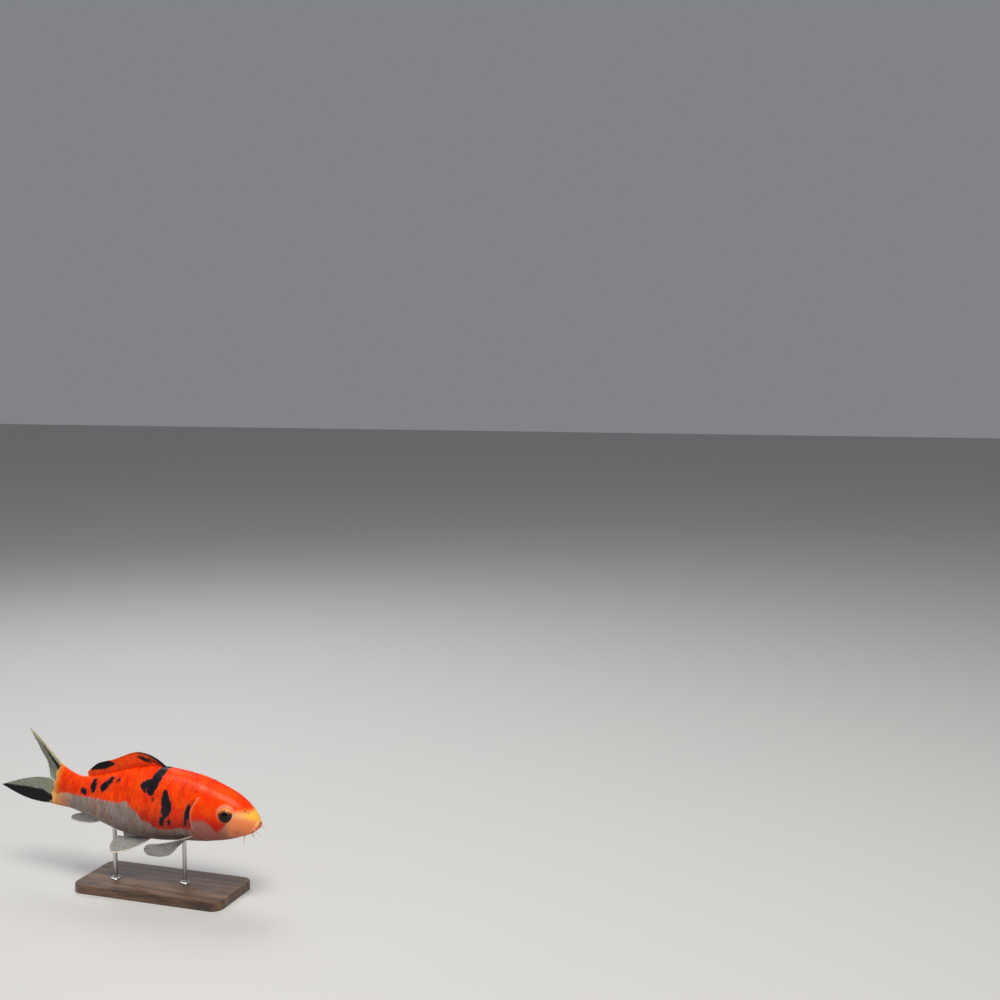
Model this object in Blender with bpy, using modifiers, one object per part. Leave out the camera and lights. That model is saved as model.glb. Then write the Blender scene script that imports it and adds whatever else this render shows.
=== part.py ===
"""A young koi carp, life size, caught mid-swim on a plain display stand.

The fish is laid out in its own coordinates and then bent along a spine: t runs back from the
snout, y goes to the fish's left and z goes up, all three as shares of the standard length.
Everything after that is in metres, head towards +X, with the origin under the stand's base.
"""

import bmesh
import bpy
import numpy as np
from mathutils import Vector

# ---------------------------------------------------------------- driving dimensions
STANDARD_LENGTH = 0.210
SNOUT = np.array([0.100, 0.004, 0.079])
GAP = 0.0003

# The bends of the spine: (from t, to t, degrees), each eased in and out.
YAW_BENDS = ((0.22, 0.60, 9.8), (0.55, 1.00, -20.0))
PITCH_BENDS = ((0.50, 1.00, 9.9), (1.00, 1.25, 15.8))
ROLL_BENDS = ((0.45, 1.00, 9.5),)

# Body outline: (t, top, bottom, half width).
OUTLINE = (
    (0.000, -0.036, -0.041, 0.016),
    (0.006, -0.020, -0.058, 0.024),
    (0.020, 0.001, -0.078, 0.034),
    (0.045, 0.021, -0.090, 0.045),
    (0.080, 0.049, -0.101, 0.057),
    (0.130, 0.079, -0.116, 0.072),
    (0.200, 0.108, -0.130, 0.085),
    (0.290, 0.137, -0.141, 0.094),
    (0.380, 0.154, -0.147, 0.096),
    (0.470, 0.164, -0.153, 0.092),
    (0.560, 0.157, -0.147, 0.083),
    (0.650, 0.136, -0.127, 0.070),
    (0.730, 0.111, -0.102, 0.056),
    (0.810, 0.086, -0.083, 0.041),
    (0.890, 0.071, -0.077, 0.028),
    (0.950, 0.077, -0.084, 0.019),
    (1.000, 0.090, -0.092, 0.012),
)
SNOUT_SET_BACK = 0.012
RING_SIDES = 28

# Where the head ends, by the angle from the back round to the belly: (degrees, t).
HEAD_EDGE = ((0, 0.235), (35, 0.238), (60, 0.262), (90, 0.292), (115, 0.288), (145, 0.238), (180, 0.205))
STEM_START = 0.80

HEAD_SHARES = (0, 0.012, 0.04, 0.09, 0.16, 0.23, 0.30, 0.37, 0.44, 0.51, 0.58, 0.66, 0.74, 0.82, 0.91, 1)
MOUTH_RING = 0.0004
MOUTH_DENT = (0.022, 0.0, -0.039)
NECK = (0.300, 0.0, 0.0)

GILL_TOP, GILL_BOTTOM = 58.0, 152.0
GILL_FRONT = 0.200
GILL_THICKNESS = 0.0020
GILL_PROUD = 0.0004
GILL_REAR_GAP = 0.0030
GILL_END_WIDTH = 0.020
POCKET_PAST = 0.02

EYE_AT = (0.146, 0.003)
EYE_RADIUS = 0.0064
EYE_HALF_DEPTH = 0.0042
EYE_SUNK = 0.0019

# Feelers: root (t, angle), tip in fish coordinates, radii at root and tip.
BARBELS = {
    "rear": ((0.045, 146.0), (0.067, -0.048, -0.124), (0.0009, 0.0004)),
    "front": ((0.010, 120.0), (0.000, -0.024, -0.086), (0.0007, 0.0004)),
}
BARBEL_STAND_OFF = 0.00045

FIN_ROOT_THICKNESS = 0.0011
FIN_EDGE_SHARE = 0.6
FIN_SUNK = 0.012

BASE_SIZE = (0.150, 0.064, 0.008)
BASE_CORNER = 0.010
BASE_EDGE = 0.0010
ROD_RADIUS = 0.0020
ROD_STATIONS = {"stand_rod_front": 0.375, "stand_rod_rear": 0.685}


# ---------------------------------------------------------------- curves and coordinates
def eased(x, start, end):
    """0 before start, 1 after end, and a smooth step between."""
    u = np.clip((np.asarray(x, float) - start) / (end - start), 0, 1)
    return u * u * (3 - 2 * u)


def smooth_through(xs, ys, x):
    """A cubic through the points that never overshoots them."""
    xs, ys = np.asarray(xs, float), np.asarray(ys, float)
    step = np.diff(xs)
    rise = np.diff(ys) / step
    slope = np.zeros_like(ys)
    slope[0], slope[-1] = rise[0], rise[-1]
    for k in range(1, len(xs) - 1):
        if rise[k - 1] * rise[k] > 0:
            before, after = 2 * step[k] + step[k - 1], step[k] + 2 * step[k - 1]
            slope[k] = (before + after) / (before / rise[k - 1] + after / rise[k])
    x = np.clip(np.asarray(x, float), xs[0], xs[-1])
    k = np.clip(np.searchsorted(xs, x, side="right") - 1, 0, len(xs) - 2)
    u = (x - xs[k]) / step[k]
    flat = ys[k] * (2 * u**3 - 3 * u**2 + 1) + ys[k + 1] * (3 * u**2 - 2 * u**3)
    return flat + step[k] * (slope[k] * (u**3 - 2 * u**2 + u) + slope[k + 1] * (u**3 - u**2))


def bend(t, bends):
    """The spine's turn at t, in radians."""
    return np.radians(sum(degrees * eased(t, start, end) for start, end, degrees in bends))


class Spine:
    """The fish's curved axis, with its forward, left and up directions at every station."""

    def __init__(self, length=1.35, stations=541):
        self.t = np.linspace(0, length, stations)
        yaw, pitch, roll = (bend(self.t, b) for b in (YAW_BENDS, PITCH_BENDS, ROLL_BENDS))
        forward = np.stack([np.cos(yaw) * np.cos(pitch), np.sin(yaw) * np.cos(pitch), -np.sin(pitch)], -1)
        level_left = np.stack([-np.sin(yaw), np.cos(yaw), 0 * yaw], -1)
        level_up = np.cross(forward, level_left)
        cos, sin = np.cos(roll)[:, None], np.sin(roll)[:, None]
        self.left = level_left * cos - level_up * sin
        self.up = level_up * cos + level_left * sin
        steps = -(forward[1:] + forward[:-1]) / 2 * np.diff(self.t)[:, None]
        self.place = np.concatenate([np.zeros((1, 3)), np.cumsum(steps, 0)])

    def point(self, t, y, z):
        """World points for fish coordinates; t, y and z may be arrays of one shape."""
        t, y, z = np.broadcast_arrays(np.asarray(t, float), y, z)

        def at(rows):
            return np.stack([np.interp(t, self.t, rows[:, k]) for k in range(3)], -1)

        bent = at(self.place) + at(self.left) * y[..., None] + at(self.up) * z[..., None]
        return SNOUT + bent * STANDARD_LENGTH


SPINE = Spine()


def outline(column, t):
    """Top, bottom or half width at t. The root of t keeps the snout round."""
    rows = np.array(OUTLINE)
    return smooth_through(np.sqrt(rows[:, 0]), rows[:, column], np.sqrt(np.maximum(t, 0)))


def section(t, angle):
    """Fish coordinates of the skin, angle in degrees from the back round the right side to the belly.

    Near the snout the sections lean, so that the mouth faces forward and down.
    """
    t, angle = np.broadcast_arrays(np.asarray(t, float), np.radians(angle))
    lean = 0.45 * t * (1 - eased(t, 0.04, 0.24))
    head = 1 - eased(t, 0.18, 0.34)
    top, bottom = outline(1, t - lean), outline(2, t + lean)
    middle = (top + bottom) / 2
    cos, sin = np.cos(angle), np.sin(angle)
    power = np.where(cos > 0, 2 / (2 + 0.35 * head), 2 / (2 + 0.25 * head))
    rise = np.sign(cos) * np.abs(cos) ** power
    side = np.sign(sin) * np.abs(sin) ** (2 / (2 + 0.3 * head))
    back = t - lean * rise + SNOUT_SET_BACK * (1 - eased(t, 0, 0.14))
    return back, -outline(3, t) * side, middle + rise * (top - bottom) / 2


def skin(t, angle, out=0.0):
    """World points on the skin, moved out along its normal by out metres."""
    step = 1e-3
    here = SPINE.point(*section(t, angle))
    if not np.any(out):
        return here
    along = SPINE.point(*section(np.asarray(t) + step, angle)) - here
    around = SPINE.point(*section(t, np.asarray(angle) + 1.0)) - here
    normal = np.cross(along, around)
    size = np.linalg.norm(normal, axis=-1, keepdims=True)
    return here + np.asarray(out)[..., None] * normal / np.maximum(size, 1e-12)


def angle_at_height(t, z):
    """The angle at which the right side of the section at t is at height z."""
    angles = np.linspace(20, 170, 301)
    return float(angles[np.argmin(np.abs(section(t, angles)[2] - z))])


# ---------------------------------------------------------------- scene helpers
def clear_scene():
    for item in list(bpy.data.objects):
        bpy.data.objects.remove(item, do_unlink=True)


def new_collection(name):
    made = bpy.data.collections.new(name)
    bpy.context.scene.collection.children.link(made)
    return made


def material(name, colour, roughness=0.4, metallic=0.0):
    made = bpy.data.materials.new(name)
    made.use_nodes = True
    surface = made.node_tree.nodes["Principled BSDF"]
    surface.inputs["Base Color"].default_value = (*colour, 1.0)
    surface.inputs["Roughness"].default_value = roughness
    surface.inputs["Metallic"].default_value = metallic
    return made


def add_mesh(name, points, faces, collection, finish=None):
    mesh = bpy.data.meshes.new(name)
    mesh.from_pydata([tuple(map(float, p)) for p in points], [], faces)
    mesh.update()
    mesh.shade_smooth()
    thing = bpy.data.objects.new(name, mesh)
    collection.objects.link(thing)
    if finish:
        mesh.materials.append(finish)
    return thing


def move_to(thing, collection):
    for owner in list(thing.users_collection):
        owner.objects.unlink(thing)
    collection.objects.link(thing)


def face_out(thing):
    """Turns every face of a closed mesh outwards."""
    work = bmesh.new()
    work.from_mesh(thing.data)
    bmesh.ops.recalc_face_normals(work, faces=work.faces)
    work.to_mesh(thing.data)
    work.free()


def as_cutter(thing):
    move_to(thing, CUTTERS)
    thing.hide_render = True
    thing.display_type = "WIRE"
    return thing


def cut(thing, cutter, solver="EXACT"):
    boolean = thing.modifiers.new("cut_by_" + cutter.name, "BOOLEAN")
    boolean.operation = "DIFFERENCE"
    boolean.solver = solver
    boolean.object = cutter


def closed_loft(name, rings, poles, collection, finish=None):
    """A solid through rings of equal count, each end closed by a fan to its pole."""
    count, sides = rings.shape[:2]
    points = list(rings.reshape(-1, 3)) + list(poles)
    faces = []
    for i in range(count - 1):
        for j in range(sides):
            after = (j + 1) % sides
            faces.append((i * sides + j, (i + 1) * sides + j, (i + 1) * sides + after, i * sides + after))
    first, last = count * sides, count * sides + 1
    for j in range(sides):
        after = (j + 1) % sides
        faces.append((first, j, after))
        faces.append((last, (count - 1) * sides + after, (count - 1) * sides + j))
    thing = add_mesh(name, points, faces, collection, finish)
    face_out(thing)
    return thing


def closed_plate(name, outer, inner, collection, finish=None):
    """A solid plate between two grids of equal shape, joined round the edge."""
    rows, columns = outer.shape[:2]
    points = list(outer.reshape(-1, 3)) + list(inner.reshape(-1, 3))
    shift = rows * columns
    faces = []
    for i in range(rows - 1):
        for j in range(columns - 1):
            square = (i * columns + j, (i + 1) * columns + j, (i + 1) * columns + j + 1, i * columns + j + 1)
            faces.append(square)
            faces.append(tuple(k + shift for k in reversed(square)))
    rim = [j for j in range(columns)]
    rim += [i * columns + columns - 1 for i in range(1, rows)]
    rim += [(rows - 1) * columns + j for j in range(columns - 2, -1, -1)]
    rim += [i * columns for i in range(rows - 2, 0, -1)]
    for here, after in zip(rim, rim[1:] + rim[:1]):
        faces.append((here, after, after + shift, here + shift))
    thing = add_mesh(name, points, faces, collection, finish)
    face_out(thing)
    return thing


# ---------------------------------------------------------------- body
def ring_angles():
    return np.arange(RING_SIDES) * 360.0 / RING_SIDES


def head_edge(angle):
    """t of the head's rear edge at each angle, the same on both sides."""
    turned = np.abs((np.asarray(angle) + 180) % 360 - 180)
    degrees, stations = zip(*HEAD_EDGE)
    return smooth_through(degrees, stations, turned)


def middle_of(ring):
    return ring.mean(axis=0)


def build_head(finish):
    edge = head_edge(ring_angles())
    stations = np.maximum(np.array(HEAD_SHARES)[:, None] * edge, MOUTH_RING)
    rings = skin(stations, ring_angles())
    return closed_loft("head", rings, (SPINE.point(*MOUTH_DENT), SPINE.point(*NECK)), PART, finish)


def build_trunk(finish):
    step = GAP / STANDARD_LENGTH
    edge = head_edge(ring_angles()) + step
    shares = np.linspace(0, 1, 19)[:, None]
    rings = skin(edge + (STEM_START - edge) * shares, ring_angles())
    neck = SPINE.point(NECK[0] + step, *NECK[1:])
    return closed_loft("trunk", rings, (neck, middle_of(rings[-1])), PART, finish)


def tail_rings(start, out=0.0):
    """Rings from start to the rounded end that the tail fin grows from, and the pole behind them."""
    rings = [skin(t, ring_angles(), out) for t in np.linspace(start, 1.0, 9)]
    middle = middle_of(rings[-1])
    back = SPINE.point(1.012, 0, 0) - SPINE.point(1.0, 0, 0)
    rings.append(middle + 0.72 * (rings[-1] - middle) + back)
    return rings, middle + 1.5 * back + back / np.linalg.norm(back) * out


def build_tail_stem(finish):
    rings, tip = tail_rings(STEM_START + GAP / STANDARD_LENGTH)
    return closed_loft("tail_stem", np.array(rings), (middle_of(rings[0]), tip), PART, finish)


def build_body_cutter():
    """The whole body, larger by the gap, which trims all that grows from it."""
    front = [skin(t, ring_angles(), GAP) for t in np.linspace(0.1**0.5, 0.77**0.5, 27) ** 2]
    snout = [skin(t, ring_angles(), GAP) for t in (0.001, 0.005, 0.013, 0.027, 0.045, 0.07)]
    rear, tip = tail_rings(STEM_START, GAP)
    rings = np.array(snout + front + rear)
    return as_cutter(closed_loft("body_cutter", rings, (SPINE.point(*MOUTH_DENT), tip), CUTTERS))


# ---------------------------------------------------------------- gill covers and eyes
def side_sign(side):
    return 1 if side == "right" else -1


def gill_grid(side, out, margin):
    """The cover's surface, moved out by out and wider by margin all round, in metres."""
    rows, columns = 13, 6
    grow = margin / STANDARD_LENGTH
    spread = np.degrees(grow / 0.10)
    angle = np.linspace(GILL_TOP - spread, GILL_BOTTOM + spread, rows)
    height = np.linspace(-1, 1, rows)
    rear = head_edge(angle) + (POCKET_PAST if margin else -GILL_REAR_GAP)
    blunt_end = head_edge(angle) - GILL_END_WIDTH
    front = blunt_end + (GILL_FRONT - blunt_end) * np.sqrt(1 - height**4) - grow
    share = np.linspace(0, 1, columns)
    t = front[:, None] + (rear - front)[:, None] * share
    return skin(t, side_sign(side) * angle[:, None], out + GILL_PROUD * share**3)


def build_gill_cover(side, finish, head):
    cover = gill_grid(side, 0.0, 0.0), gill_grid(side, -GILL_THICKNESS, 0.0)
    pocket = gill_grid(side, GILL_THICKNESS, GAP), gill_grid(side, -GILL_THICKNESS - GAP, GAP)
    closed_plate("gill_cover_" + side, *cover, PART, finish)
    cut(head, as_cutter(closed_plate("gill_pocket_" + side, *pocket, CUTTERS)))


def eye_frame(side):
    """Centre of the eye and the direction it looks in."""
    t, z = EYE_AT
    angle = side_sign(side) * angle_at_height(t, z)
    on_skin, above = skin(t, angle), skin(t, angle, 0.001)
    look = (above - on_skin) / 0.001
    return on_skin - look * EYE_SUNK, look


def build_eyeball(name, side, grow, finish, collection):
    centre, look = eye_frame(side)
    work = bmesh.new()
    bmesh.ops.create_uvsphere(work, u_segments=20, v_segments=10, radius=1.0)
    size = (EYE_RADIUS + grow, EYE_RADIUS + grow, EYE_HALF_DEPTH + grow)
    bmesh.ops.scale(work, vec=size, verts=work.verts)
    mesh = bpy.data.meshes.new(name)
    work.to_mesh(mesh)
    work.free()
    mesh.shade_smooth()
    eye = bpy.data.objects.new(name, mesh)
    collection.objects.link(eye)
    eye.location = centre
    eye.rotation_mode = "QUATERNION"
    eye.rotation_quaternion = Vector(look).to_track_quat("Z", "Y")
    if finish:
        mesh.materials.append(finish)
    return eye


def build_eye(side, finish, head):
    build_eyeball("eye_" + side, side, 0.0, finish, PART)
    cut(head, as_cutter(build_eyeball("eye_socket_" + side, side, GAP, None, CUTTERS)))


def build_barbel(name, side, root, tip, radii, finish):
    """A feeler that leaves the skin square and then bends to its tip."""
    t, angle = root[0], side_sign(side) * root[1]
    start = skin(t, angle, BARBEL_STAND_OFF)
    knee = skin(t, angle, BARBEL_STAND_OFF + 0.0016)
    end = SPINE.point(tip[0], side_sign(side) * tip[1], tip[2])
    curve = bpy.data.curves.new(name, "CURVE")
    curve.dimensions = "3D"
    curve.bevel_depth = 1.0
    curve.bevel_resolution = 1
    curve.use_fill_caps = True
    spline = curve.splines.new("POLY")
    steps = 6
    spline.points.add(steps)
    for k in range(steps + 1):
        u = k / steps
        place = (1 - u) ** 2 * start + 2 * u * (1 - u) * knee + u**2 * end
        spline.points[k].co = (*place, 1.0)
        spline.points[k].radius = radii[0] + (radii[1] - radii[0]) * u
    thing = bpy.data.objects.new(name, curve)
    PART.objects.link(thing)
    curve.materials.append(finish)
    return thing


# ---------------------------------------------------------------- fins
def along(points, count):
    """count points along the smooth curve through the given ones, evenly by chord."""
    points = np.asarray(points, float)
    chord = np.concatenate([[0], np.cumsum(np.linalg.norm(np.diff(points, axis=0), axis=1))])
    where = np.linspace(0, chord[-1], count)
    return np.stack([smooth_through(chord, points[:, k], where) for k in range(3)], -1)


def build_fin(name, roots, edge, arch, size, finish, solver="EXACT"):
    """A thin fin whose rays run from the root line to the edge line.

    roots and edge are fish coordinates, arch is how far the first and last rays bow out (a pair of
    vectors in fish coordinates) and size is (rays, points on a ray).
    """
    rays, steps = size
    start, end = along(roots, rays), along(edge, rays)
    share = np.linspace(0, 1, rays)[:, None, None]
    u = np.linspace(0, 1, steps)[None, :, None]
    bow = (1 - share) ** 2 * np.array(arch[0]) + share**2 * np.array(arch[1])
    fish = start[:, None] + (end - start)[:, None] * u + bow * 4 * u * (1 - u)
    points = SPINE.point(fish[..., 0], fish[..., 1], fish[..., 2]).reshape(-1, 3)
    faces = []
    for i in range(rays - 1):
        for j in range(steps - 1):
            here = i * steps + j
            faces.append((here, here + 1, here + steps + 1, here + steps))
    fin = add_mesh(name, points, faces, PART, finish)
    group = fin.vertex_groups.new(name="root")
    for i in range(rays):
        for j in range(steps):
            group.add([i * steps + j], 1 - j / (steps - 1), "REPLACE")
    solid = fin.modifiers.new("thickness", "SOLIDIFY")
    solid.thickness = FIN_ROOT_THICKNESS
    solid.offset = 0.0
    solid.vertex_group = group.name
    solid.thickness_vertex_group = FIN_EDGE_SHARE
    cut(fin, BODY_CUTTER, solver)


def sided(points, side):
    """Fish coordinates of a right-hand fin, moved to the other side for the left."""
    return [(t, y * side_sign(side), z) for t, y, z in points]


def build_dorsal_fin(finish):
    stations = (0.434, 0.53, 0.63, 0.73, 0.832)
    roots = [(t, 0.0, float(outline(1, t)) - FIN_SUNK) for t in stations]
    edge = [
        (0.586, 0.000, 0.221),
        (0.619, 0.002, 0.214),
        (0.650, 0.004, 0.202),
        (0.717, 0.005, 0.174),
        (0.758, 0.004, 0.161),
        (0.796, 0.003, 0.146),
        (0.826, 0.001, 0.120),
        (0.846, 0.000, 0.096),
    ]
    build_fin("fin_dorsal", roots, edge, ((-0.004, 0, 0.019), (0, 0, 0)), (19, 5), finish)


def build_tail_fin(finish):
    """The forked tail fin, as its two lobes; the upper one leans to the fish's left."""
    upper_roots = [(0.962, 0, 0.074), (0.985, 0, 0.035), (0.992, 0, 0.002)]
    upper_edge = [
        (1.271, 0.000, 0.153),
        (1.250, 0.028, 0.118),
        (1.208, 0.045, 0.085),
        (1.145, 0.045, 0.058),
        (1.100, 0.032, 0.035),
        (1.056, 0.008, 0.010),
    ]
    lower_roots = [(0.992, 0, -0.002), (0.985, 0, -0.040), (0.966, 0, -0.078)]
    lower_edge = [
        (1.056, 0.008, 0.006),
        (1.110, 0.002, -0.010),
        (1.172, 0.000, -0.048),
        (1.233, 0.000, -0.105),
        (1.274, 0.000, -0.148),
    ]
    straight = (0, 0, 0)
    build_fin("fin_tail_upper", upper_roots, upper_edge, ((0, 0, 0.017), straight), (12, 6), finish)
    build_fin("fin_tail_lower", lower_roots, lower_edge, (straight, (0, 0, -0.007)), (12, 6), finish)


def build_anal_fin(finish):
    roots = [(t, 0.0, float(outline(2, t)) + FIN_SUNK) for t in (0.733, 0.77, 0.812)]
    edge = [(0.886, 0, -0.125), (0.889, 0, -0.112), (0.874, 0, -0.098), (0.856, 0, -0.090)]
    build_fin("fin_anal", roots, edge, ((-0.008, 0, -0.012), (0, 0, 0)), (10, 5), finish)


def build_pectoral_fin(side, finish):
    roots = [(0.276, -0.058, -0.096), (0.300, -0.050, -0.105), (0.324, -0.040, -0.114)]
    edge = [
        (0.486, -0.109, -0.136),
        (0.505, -0.112, -0.148),
        (0.511, -0.114, -0.161),
        (0.504, -0.114, -0.177),
        (0.480, -0.111, -0.189),
        (0.438, -0.105, -0.193),
        (0.401, -0.098, -0.187),
        (0.374, -0.090, -0.168),
    ]
    arch = ((0, -0.008, -0.010), (0, -0.002, 0.004))
    build_fin("fin_pectoral_" + side, sided(roots, side), sided(edge, side), arch, (12, 6), finish, "MANIFOLD")


def build_pelvic_fin(side, finish):
    roots = [(0.504, -0.028, -0.136), (0.518, -0.020, -0.139), (0.532, -0.012, -0.138)]
    edge = [
        (0.651, -0.090, -0.198),
        (0.664, -0.080, -0.188),
        (0.671, -0.062, -0.170),
        (0.668, -0.045, -0.154),
        (0.655, -0.028, -0.141),
    ]
    arch = ((0.004, -0.006, -0.015), (0, 0, -0.003))
    build_fin("fin_pelvic_" + side, sided(roots, side), sided(edge, side), arch, (11, 5), finish)


# ---------------------------------------------------------------- stand
def build_base(finish):
    length, width, thickness = BASE_SIZE
    bpy.ops.mesh.primitive_cube_add(size=1.0, location=(0, 0, thickness / 2))
    base = bpy.context.object
    base.name = "stand_base"
    move_to(base, PART)
    base.scale = BASE_SIZE
    bpy.ops.object.transform_apply(location=False, rotation=False, scale=True)
    uprights = [edge for edge in base.data.edges if is_upright(base.data, edge)]
    weights = base.data.attributes.new("bevel_weight_edge", "FLOAT", "EDGE")
    for edge in uprights:
        weights.data[edge.index].value = 1.0
    corners = base.modifiers.new("corners", "BEVEL")
    corners.width = BASE_CORNER
    corners.segments = 5
    corners.limit_method = "WEIGHT"
    softened = base.modifiers.new("edges", "BEVEL")
    softened.width = BASE_EDGE
    softened.segments = 2
    softened.limit_method = "ANGLE"
    softened.angle_limit = np.radians(50)
    base.data.materials.append(finish)


def is_upright(mesh, edge):
    ends = [mesh.vertices[k].co for k in edge.vertices]
    return abs(ends[0].z - ends[1].z) > 1e-6


def build_rod(name, station, finish):
    """A round rod from the base up to the belly, which the body's cutter trims to fit."""
    belly = SPINE.point(station, 0.0, float(outline(2, station)))
    bottom = BASE_SIZE[2] + GAP
    height = belly[2] + 0.006 - bottom
    bpy.ops.mesh.primitive_cylinder_add(vertices=20, radius=ROD_RADIUS, depth=height)
    rod = bpy.context.object
    rod.name = name
    move_to(rod, PART)
    rod.location = (belly[0], belly[1], bottom + height / 2)
    rod.data.shade_smooth()
    rod.data.set_sharp_from_angle(angle=np.radians(40))
    rod.data.materials.append(finish)
    cut(rod, BODY_CUTTER)


# ---------------------------------------------------------------- assembly
def build_all():
    orange = material("orange_skin", (0.80, 0.13, 0.02), 0.35)
    pale = material("pale_skin", (0.62, 0.48, 0.42), 0.4)
    cover = material("gill_cover_skin", (0.78, 0.20, 0.06), 0.35)
    dark = material("eye", (0.02, 0.015, 0.012), 0.08)
    fin = material("fin", (0.45, 0.42, 0.38), 0.4)
    orange_fin = material("orange_fin", (0.75, 0.14, 0.03), 0.4)
    wood = material("base_wood", (0.10, 0.055, 0.03), 0.4)
    steel = material("rod_steel", (0.6, 0.6, 0.6), 0.3, 1.0)
    head = build_head(orange)
    build_trunk(orange)
    build_tail_stem(orange)
    for side in ("right", "left"):
        build_gill_cover(side, cover, head)
        build_eye(side, dark, head)
        build_pectoral_fin(side, fin)
        build_pelvic_fin(side, fin)
        for place, (root, tip, radii) in BARBELS.items():
            build_barbel("barbel_" + place + "_" + side, side, root, tip, radii, pale)
    build_dorsal_fin(orange_fin)
    build_anal_fin(fin)
    build_tail_fin(fin)
    build_base(wood)
    for name, station in ROD_STATIONS.items():
        build_rod(name, station, steel)


clear_scene()
PART = new_collection("koi_carp")
CUTTERS = new_collection("cutters")
BODY_CUTTER = build_body_cutter()
build_all()
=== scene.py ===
"""A young koi carp, life size, caught mid-swim on a plain display stand: the dressed model.

The fish is worked out in its own coordinates and then bent along a spine: t runs back from the
snout, y goes to the fish's left and z goes up, all as shares of the standard length. On the skin a
place is (t, angle), the angle running from the back over the right flank to the belly.
"""

import logging
import math
from collections.abc import Sequence
from dataclasses import dataclass, field, replace
from enum import Enum

import bpy
import numpy as np
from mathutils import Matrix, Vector


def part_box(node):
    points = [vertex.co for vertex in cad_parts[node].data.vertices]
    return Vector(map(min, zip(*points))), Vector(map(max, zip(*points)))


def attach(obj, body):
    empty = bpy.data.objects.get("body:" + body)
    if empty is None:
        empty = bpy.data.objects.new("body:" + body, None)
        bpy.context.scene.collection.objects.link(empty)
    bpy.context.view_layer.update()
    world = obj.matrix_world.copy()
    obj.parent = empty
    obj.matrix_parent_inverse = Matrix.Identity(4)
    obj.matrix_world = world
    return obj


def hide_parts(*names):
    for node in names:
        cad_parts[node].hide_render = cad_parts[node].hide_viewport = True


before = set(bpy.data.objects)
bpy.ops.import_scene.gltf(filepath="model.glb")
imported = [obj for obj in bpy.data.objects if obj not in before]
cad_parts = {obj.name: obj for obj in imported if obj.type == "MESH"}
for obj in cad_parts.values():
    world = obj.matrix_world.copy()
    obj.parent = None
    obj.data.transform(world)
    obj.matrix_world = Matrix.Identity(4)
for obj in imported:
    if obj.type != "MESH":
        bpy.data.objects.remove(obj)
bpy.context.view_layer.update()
LOG = logging.getLogger("koi")
MM = 0.001
Array = np.ndarray
Thing = bpy.types.Object
Material = bpy.types.Material
Socket = bpy.types.NodeSocket


class Side(Enum):
    """Which flank a piece is on; the value is the sign of its angle."""

    RIGHT = 1
    LEFT = -1

    @property
    def word(self) -> str:
        """The side's name as the frame's nodes spell it."""
        return self.name.lower()


# --- numbers and curves
def eased(x: Array | float, start: float, end: float) -> Array:
    """A smooth step.

    Args:
        x: Where to read it.
        start: Where it leaves 0.
        end: Where it reaches 1.

    Returns:
        Values from 0 to 1.
    """
    u = np.clip((np.asarray(x, float) - start) / (end - start), 0, 1)
    return u * u * (3 - 2 * u)


def bump(x: Array, centre: float, width: float) -> Array:
    """A soft bell of height 1 at centre, about two widths across."""
    return np.exp(-(((x - centre) / width) ** 2))


def unit(vectors: Array) -> Array:
    """Vectors made one long, along the last axis."""
    return vectors / np.maximum(np.linalg.norm(vectors, axis=-1, keepdims=True), 1e-12)


def way_along(points: Array) -> Array:
    """The way covered at each point of a path, from 0 at its start."""
    return np.concatenate([[0], np.cumsum(np.linalg.norm(np.diff(points, axis=0), axis=1))])


def smooth_through(xs: Sequence[float], ys: Sequence[float], x: Array) -> Array:
    """A cubic through points that never overshoots them.

    Args:
        xs: Rising places.
        ys: The value at each place.
        x: Where to read the curve; it is level past either end.

    Returns:
        The curve's values at x.
    """
    xs, ys = np.asarray(xs, float), np.asarray(ys, float)
    step = np.diff(xs)
    rise = np.diff(ys) / step
    slope = np.zeros_like(ys)
    slope[0], slope[-1] = rise[0], rise[-1]
    for k in range(1, len(xs) - 1):
        if rise[k - 1] * rise[k] > 0:
            before, after = 2 * step[k] + step[k - 1], step[k] + 2 * step[k - 1]
            slope[k] = (before + after) / (before / rise[k - 1] + after / rise[k])
    x = np.clip(np.asarray(x, float), xs[0], xs[-1])
    k = np.clip(np.searchsorted(xs, x, side="right") - 1, 0, len(xs) - 2)
    u = (x - xs[k]) / step[k]
    flat = ys[k] * (2 * u**3 - 3 * u**2 + 1) + ys[k + 1] * (3 * u**2 - 2 * u**3)
    return flat + step[k] * (slope[k] * (u**3 - 2 * u**2 + u) + slope[k + 1] * (u**3 - u**2))


def along(points: Sequence[Sequence[float]], count: int) -> Array:
    """Points spaced evenly along the smooth curve through the given ones.

    Args:
        points: The given points, one a row.
        count: How many to make.

    Returns:
        The new points, one a row.
    """
    points = np.asarray(points, float)
    chord = way_along(points)
    where = np.linspace(0, chord[-1], count)
    return np.stack([smooth_through(chord, points[:, k], where) for k in range(points.shape[1])], -1)


def path_distance(points: Array, path: Array, reach: float) -> tuple[Array, Array]:
    """How far points lie from a path, and where along it they are nearest.

    Args:
        points: World points, one a row.
        path: The path's corners.
        reach: Points outside the path's box by more than this get this distance.

    Returns:
        The distances, and shares of the path from 0 to 1.
    """
    near = np.all((points > path.min(0) - reach) & (points < path.max(0) + reach), axis=1)
    some = points[near]
    best = np.full(len(some), reach, float)
    share = np.zeros(len(some))
    before = way_along(path)
    for k, (start, end) in enumerate(zip(path[:-1], path[1:])):
        run = end - start
        u = np.clip((some - start) @ run / max(run @ run, 1e-18), 0, 1)
        gap = np.linalg.norm(some - start - u[:, None] * run, axis=1)
        closer = gap < best
        best = np.where(closer, gap, best)
        share = np.where(closer, (before[k] + u * (before[k + 1] - before[k])) / before[-1], share)
    distance, place = np.full(len(points), reach, float), np.zeros(len(points))
    distance[near], place[near] = best, share
    return distance, place


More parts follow.
